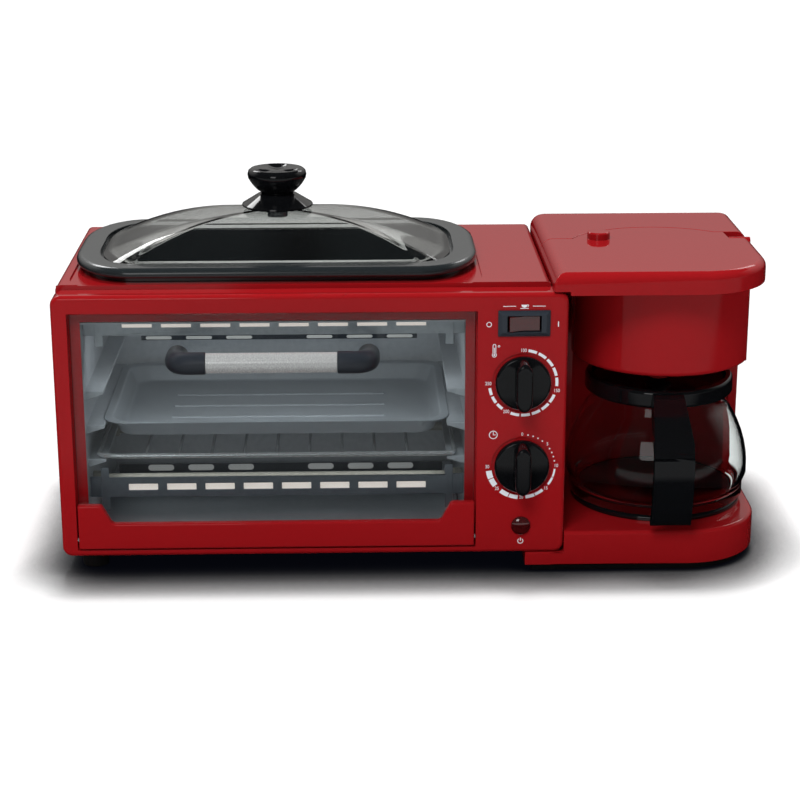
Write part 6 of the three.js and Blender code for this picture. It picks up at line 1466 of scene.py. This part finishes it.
# painted shadow in reflections: the mirrored floor is black near the machine and grey further out
room = add(paper, "ShaderNodeMix", {"data_type": "RGBA", 6: colour("#08080a"), 7: colour("#8a8c8c")},
           {0: far.outputs[0]})
dark = add(paper, "ShaderNodeBsdfDiffuse", {}, {"Color": room.outputs[2]})
straight, mirrored = straight_look(paper)
bounce = add(paper, "ShaderNodeMixShader", {}, {0: mirrored, 1: plain.outputs[0], 2: dark.outputs[0]})
both = add(paper, "ShaderNodeMixShader", {}, {0: straight, 1: bounce.outputs[0], 2: seen_paper.outputs[0]})
add(paper, "ShaderNodeOutputMaterial", {}, {"Surface": both.outputs[0]})
floor.data.materials.append(paper)
print("floor glow:", GLOW_SHARE)

# %% [markdown]
# The studio: an even white dome lights the object softly. Reflections see a white backdrop behind the
# object up to about 40 degrees, darker towards the floor, and black curtains above and in front.

# %% Dome
DOME_LEVEL = 0.38
world = bpy.data.worlds.new("studio")
bpy.context.scene.world = world
world.use_nodes = True
world.node_tree.nodes.clear()
direction = add(world, "ShaderNodeTexCoord")
axes = add(world, "ShaderNodeSeparateXYZ", {}, {0: direction.outputs["Generated"]})
behind = add(world, "ShaderNodeMapRange", {"From Min": -0.1, "From Max": 0.35, "To Min": 0.0, "To Max": 1.0},
             {"Value": axes.outputs["Y"]})
backdrop = add(world, "ShaderNodeMapRange",
               {"From Min": 0.0, "From Max": 0.8, "To Min": 0.08, "To Max": 1.05},
               {"Value": axes.outputs["Z"]})
curtain = add(world, "ShaderNodeMapRange", {"From Min": 0.6, "From Max": 0.64, "To Min": 1.0, "To Max": 0.0},
              {"Value": axes.outputs["Z"]})
low = add(world, "ShaderNodeMath", {"operation": "MULTIPLY"}, {0: backdrop.outputs[0], 1: curtain.outputs[0]})
seen = add(world, "ShaderNodeMath", {"operation": "MULTIPLY_ADD", 2: 0.03},
           {0: behind.outputs[0], 1: low.outputs[0]})
dome = add(world, "ShaderNodeBackground", {"Color": colour("#ffffff"), "Strength": DOME_LEVEL})
mirror = add(world, "ShaderNodeBackground", {"Color": colour("#fffdfa")}, {"Strength": seen.outputs[0]})
sky = add(world, "ShaderNodeBackground", {"Color": colour("#ffffff"), "Strength": 1.0})
straight, mirrored = straight_look(world)
gloss = add(world, "ShaderNodeMixShader", {}, {0: mirrored, 1: dome.outputs[0], 2: mirror.outputs[0]})
out = add(world, "ShaderNodeMixShader", {}, {0: straight, 1: gloss.outputs[0], 2: sky.outputs[0]})
add(world, "ShaderNodeOutputWorld", {}, {"Surface": out.outputs[0]})
print("dome level:", DOME_LEVEL)

# %% [markdown]
# A front light from high up models the front, and one from above and behind throws the short soft shadow
# towards us. Neither shows in reflections. Two narrow lamps inside the oven light its rear wall and its
# floor. Panels that show only in reflections put the white streaks on the lid's ridges, the pan's rim and
# the carafe.

# %% Lamps
MIDDLE = (0, 80, 90)


def soft_box(name, place, width, height, level, in_gloss=False, aim=MIDDLE):
    """A rectangular lamp, all in millimetres from the start point. The level of a soft light is the
    brightness that it gives a white sheet facing it, and the level of a panel is its own brightness."""
    bpy.ops.object.light_add(type="AREA", location=at(*place))
    lamp = bpy.context.object
    lamp.name = name
    lamp.data.shape = "RECTANGLE"
    lamp.data.size, lamp.data.size_y = width * MM, height * MM
    away = (Vector(place) - Vector(aim)) * MM
    spread = width * height * MM ** 2 if in_gloss else math.pi * away.length_squared
    lamp.data.energy = level * math.pi * spread
    lamp.rotation_euler = (-away).to_track_quat("-Z", "Y").to_euler()
    lamp.visible_glossy = in_gloss
    lamp.visible_diffuse = not in_gloss
    lamp.visible_transmission = False
    return lamp


front_light = soft_box("front_light", (-350, -1150, 1650), 800, 600, 0.6)
soft_box("oven_light", (-24.7, 30, 140), 220, 12, 0.9, aim=(-24.7, 120, 70))
soft_box("tray_light", (-24.7, 34, 52), 220, 12, 0.9, aim=(-24.7, 60, 5))
BACK_SUN_HEIGHT, BACK_SUN_ANGLE, BACK_SUN_LEVEL = 79, 8, 0.66
bpy.ops.object.light_add(type="SUN", location=at(0, 800, 1900))
back_sun = bpy.context.object
back_sun.name = "back_sun"
back_sun.data.angle = math.radians(BACK_SUN_ANGLE)
back_sun.data.energy = BACK_SUN_LEVEL * math.pi
back_sun.rotation_euler = (math.radians(-(90 - BACK_SUN_HEIGHT)), 0, 0)
back_sun.visible_glossy = False
back_sun.visible_transmission = False
soft_box("ridge_panel", (-900, 1500, 1500), 650, 500, 7, in_gloss=True)
soft_box("right_ridge_panel", (1100, 1500, 1350), 500, 500, 3, in_gloss=True)
soft_box("window_panel", (-500, -1900, 900), 700, 700, 2, in_gloss=True)
dark_set = bpy.data.collections.new("floor_without_front_light")
dark_set.objects.link(floor)
front_light.light_linking.receiver_collection = dark_set
dark_set.collection_objects[0].light_linking.link_state = "EXCLUDE"
no_loop = bpy.data.collections.new("handle_throws_no_shadow")
for word in ("handle_tube_bar", "handle_elbow_grip_left", "handle_elbow_grip_right"):
    no_loop.objects.link(bpy.data.objects[word])
back_sun.light_linking.blocker_collection = no_loop
for member in no_loop.collection_objects:
    member.light_linking.link_state = "EXCLUDE"
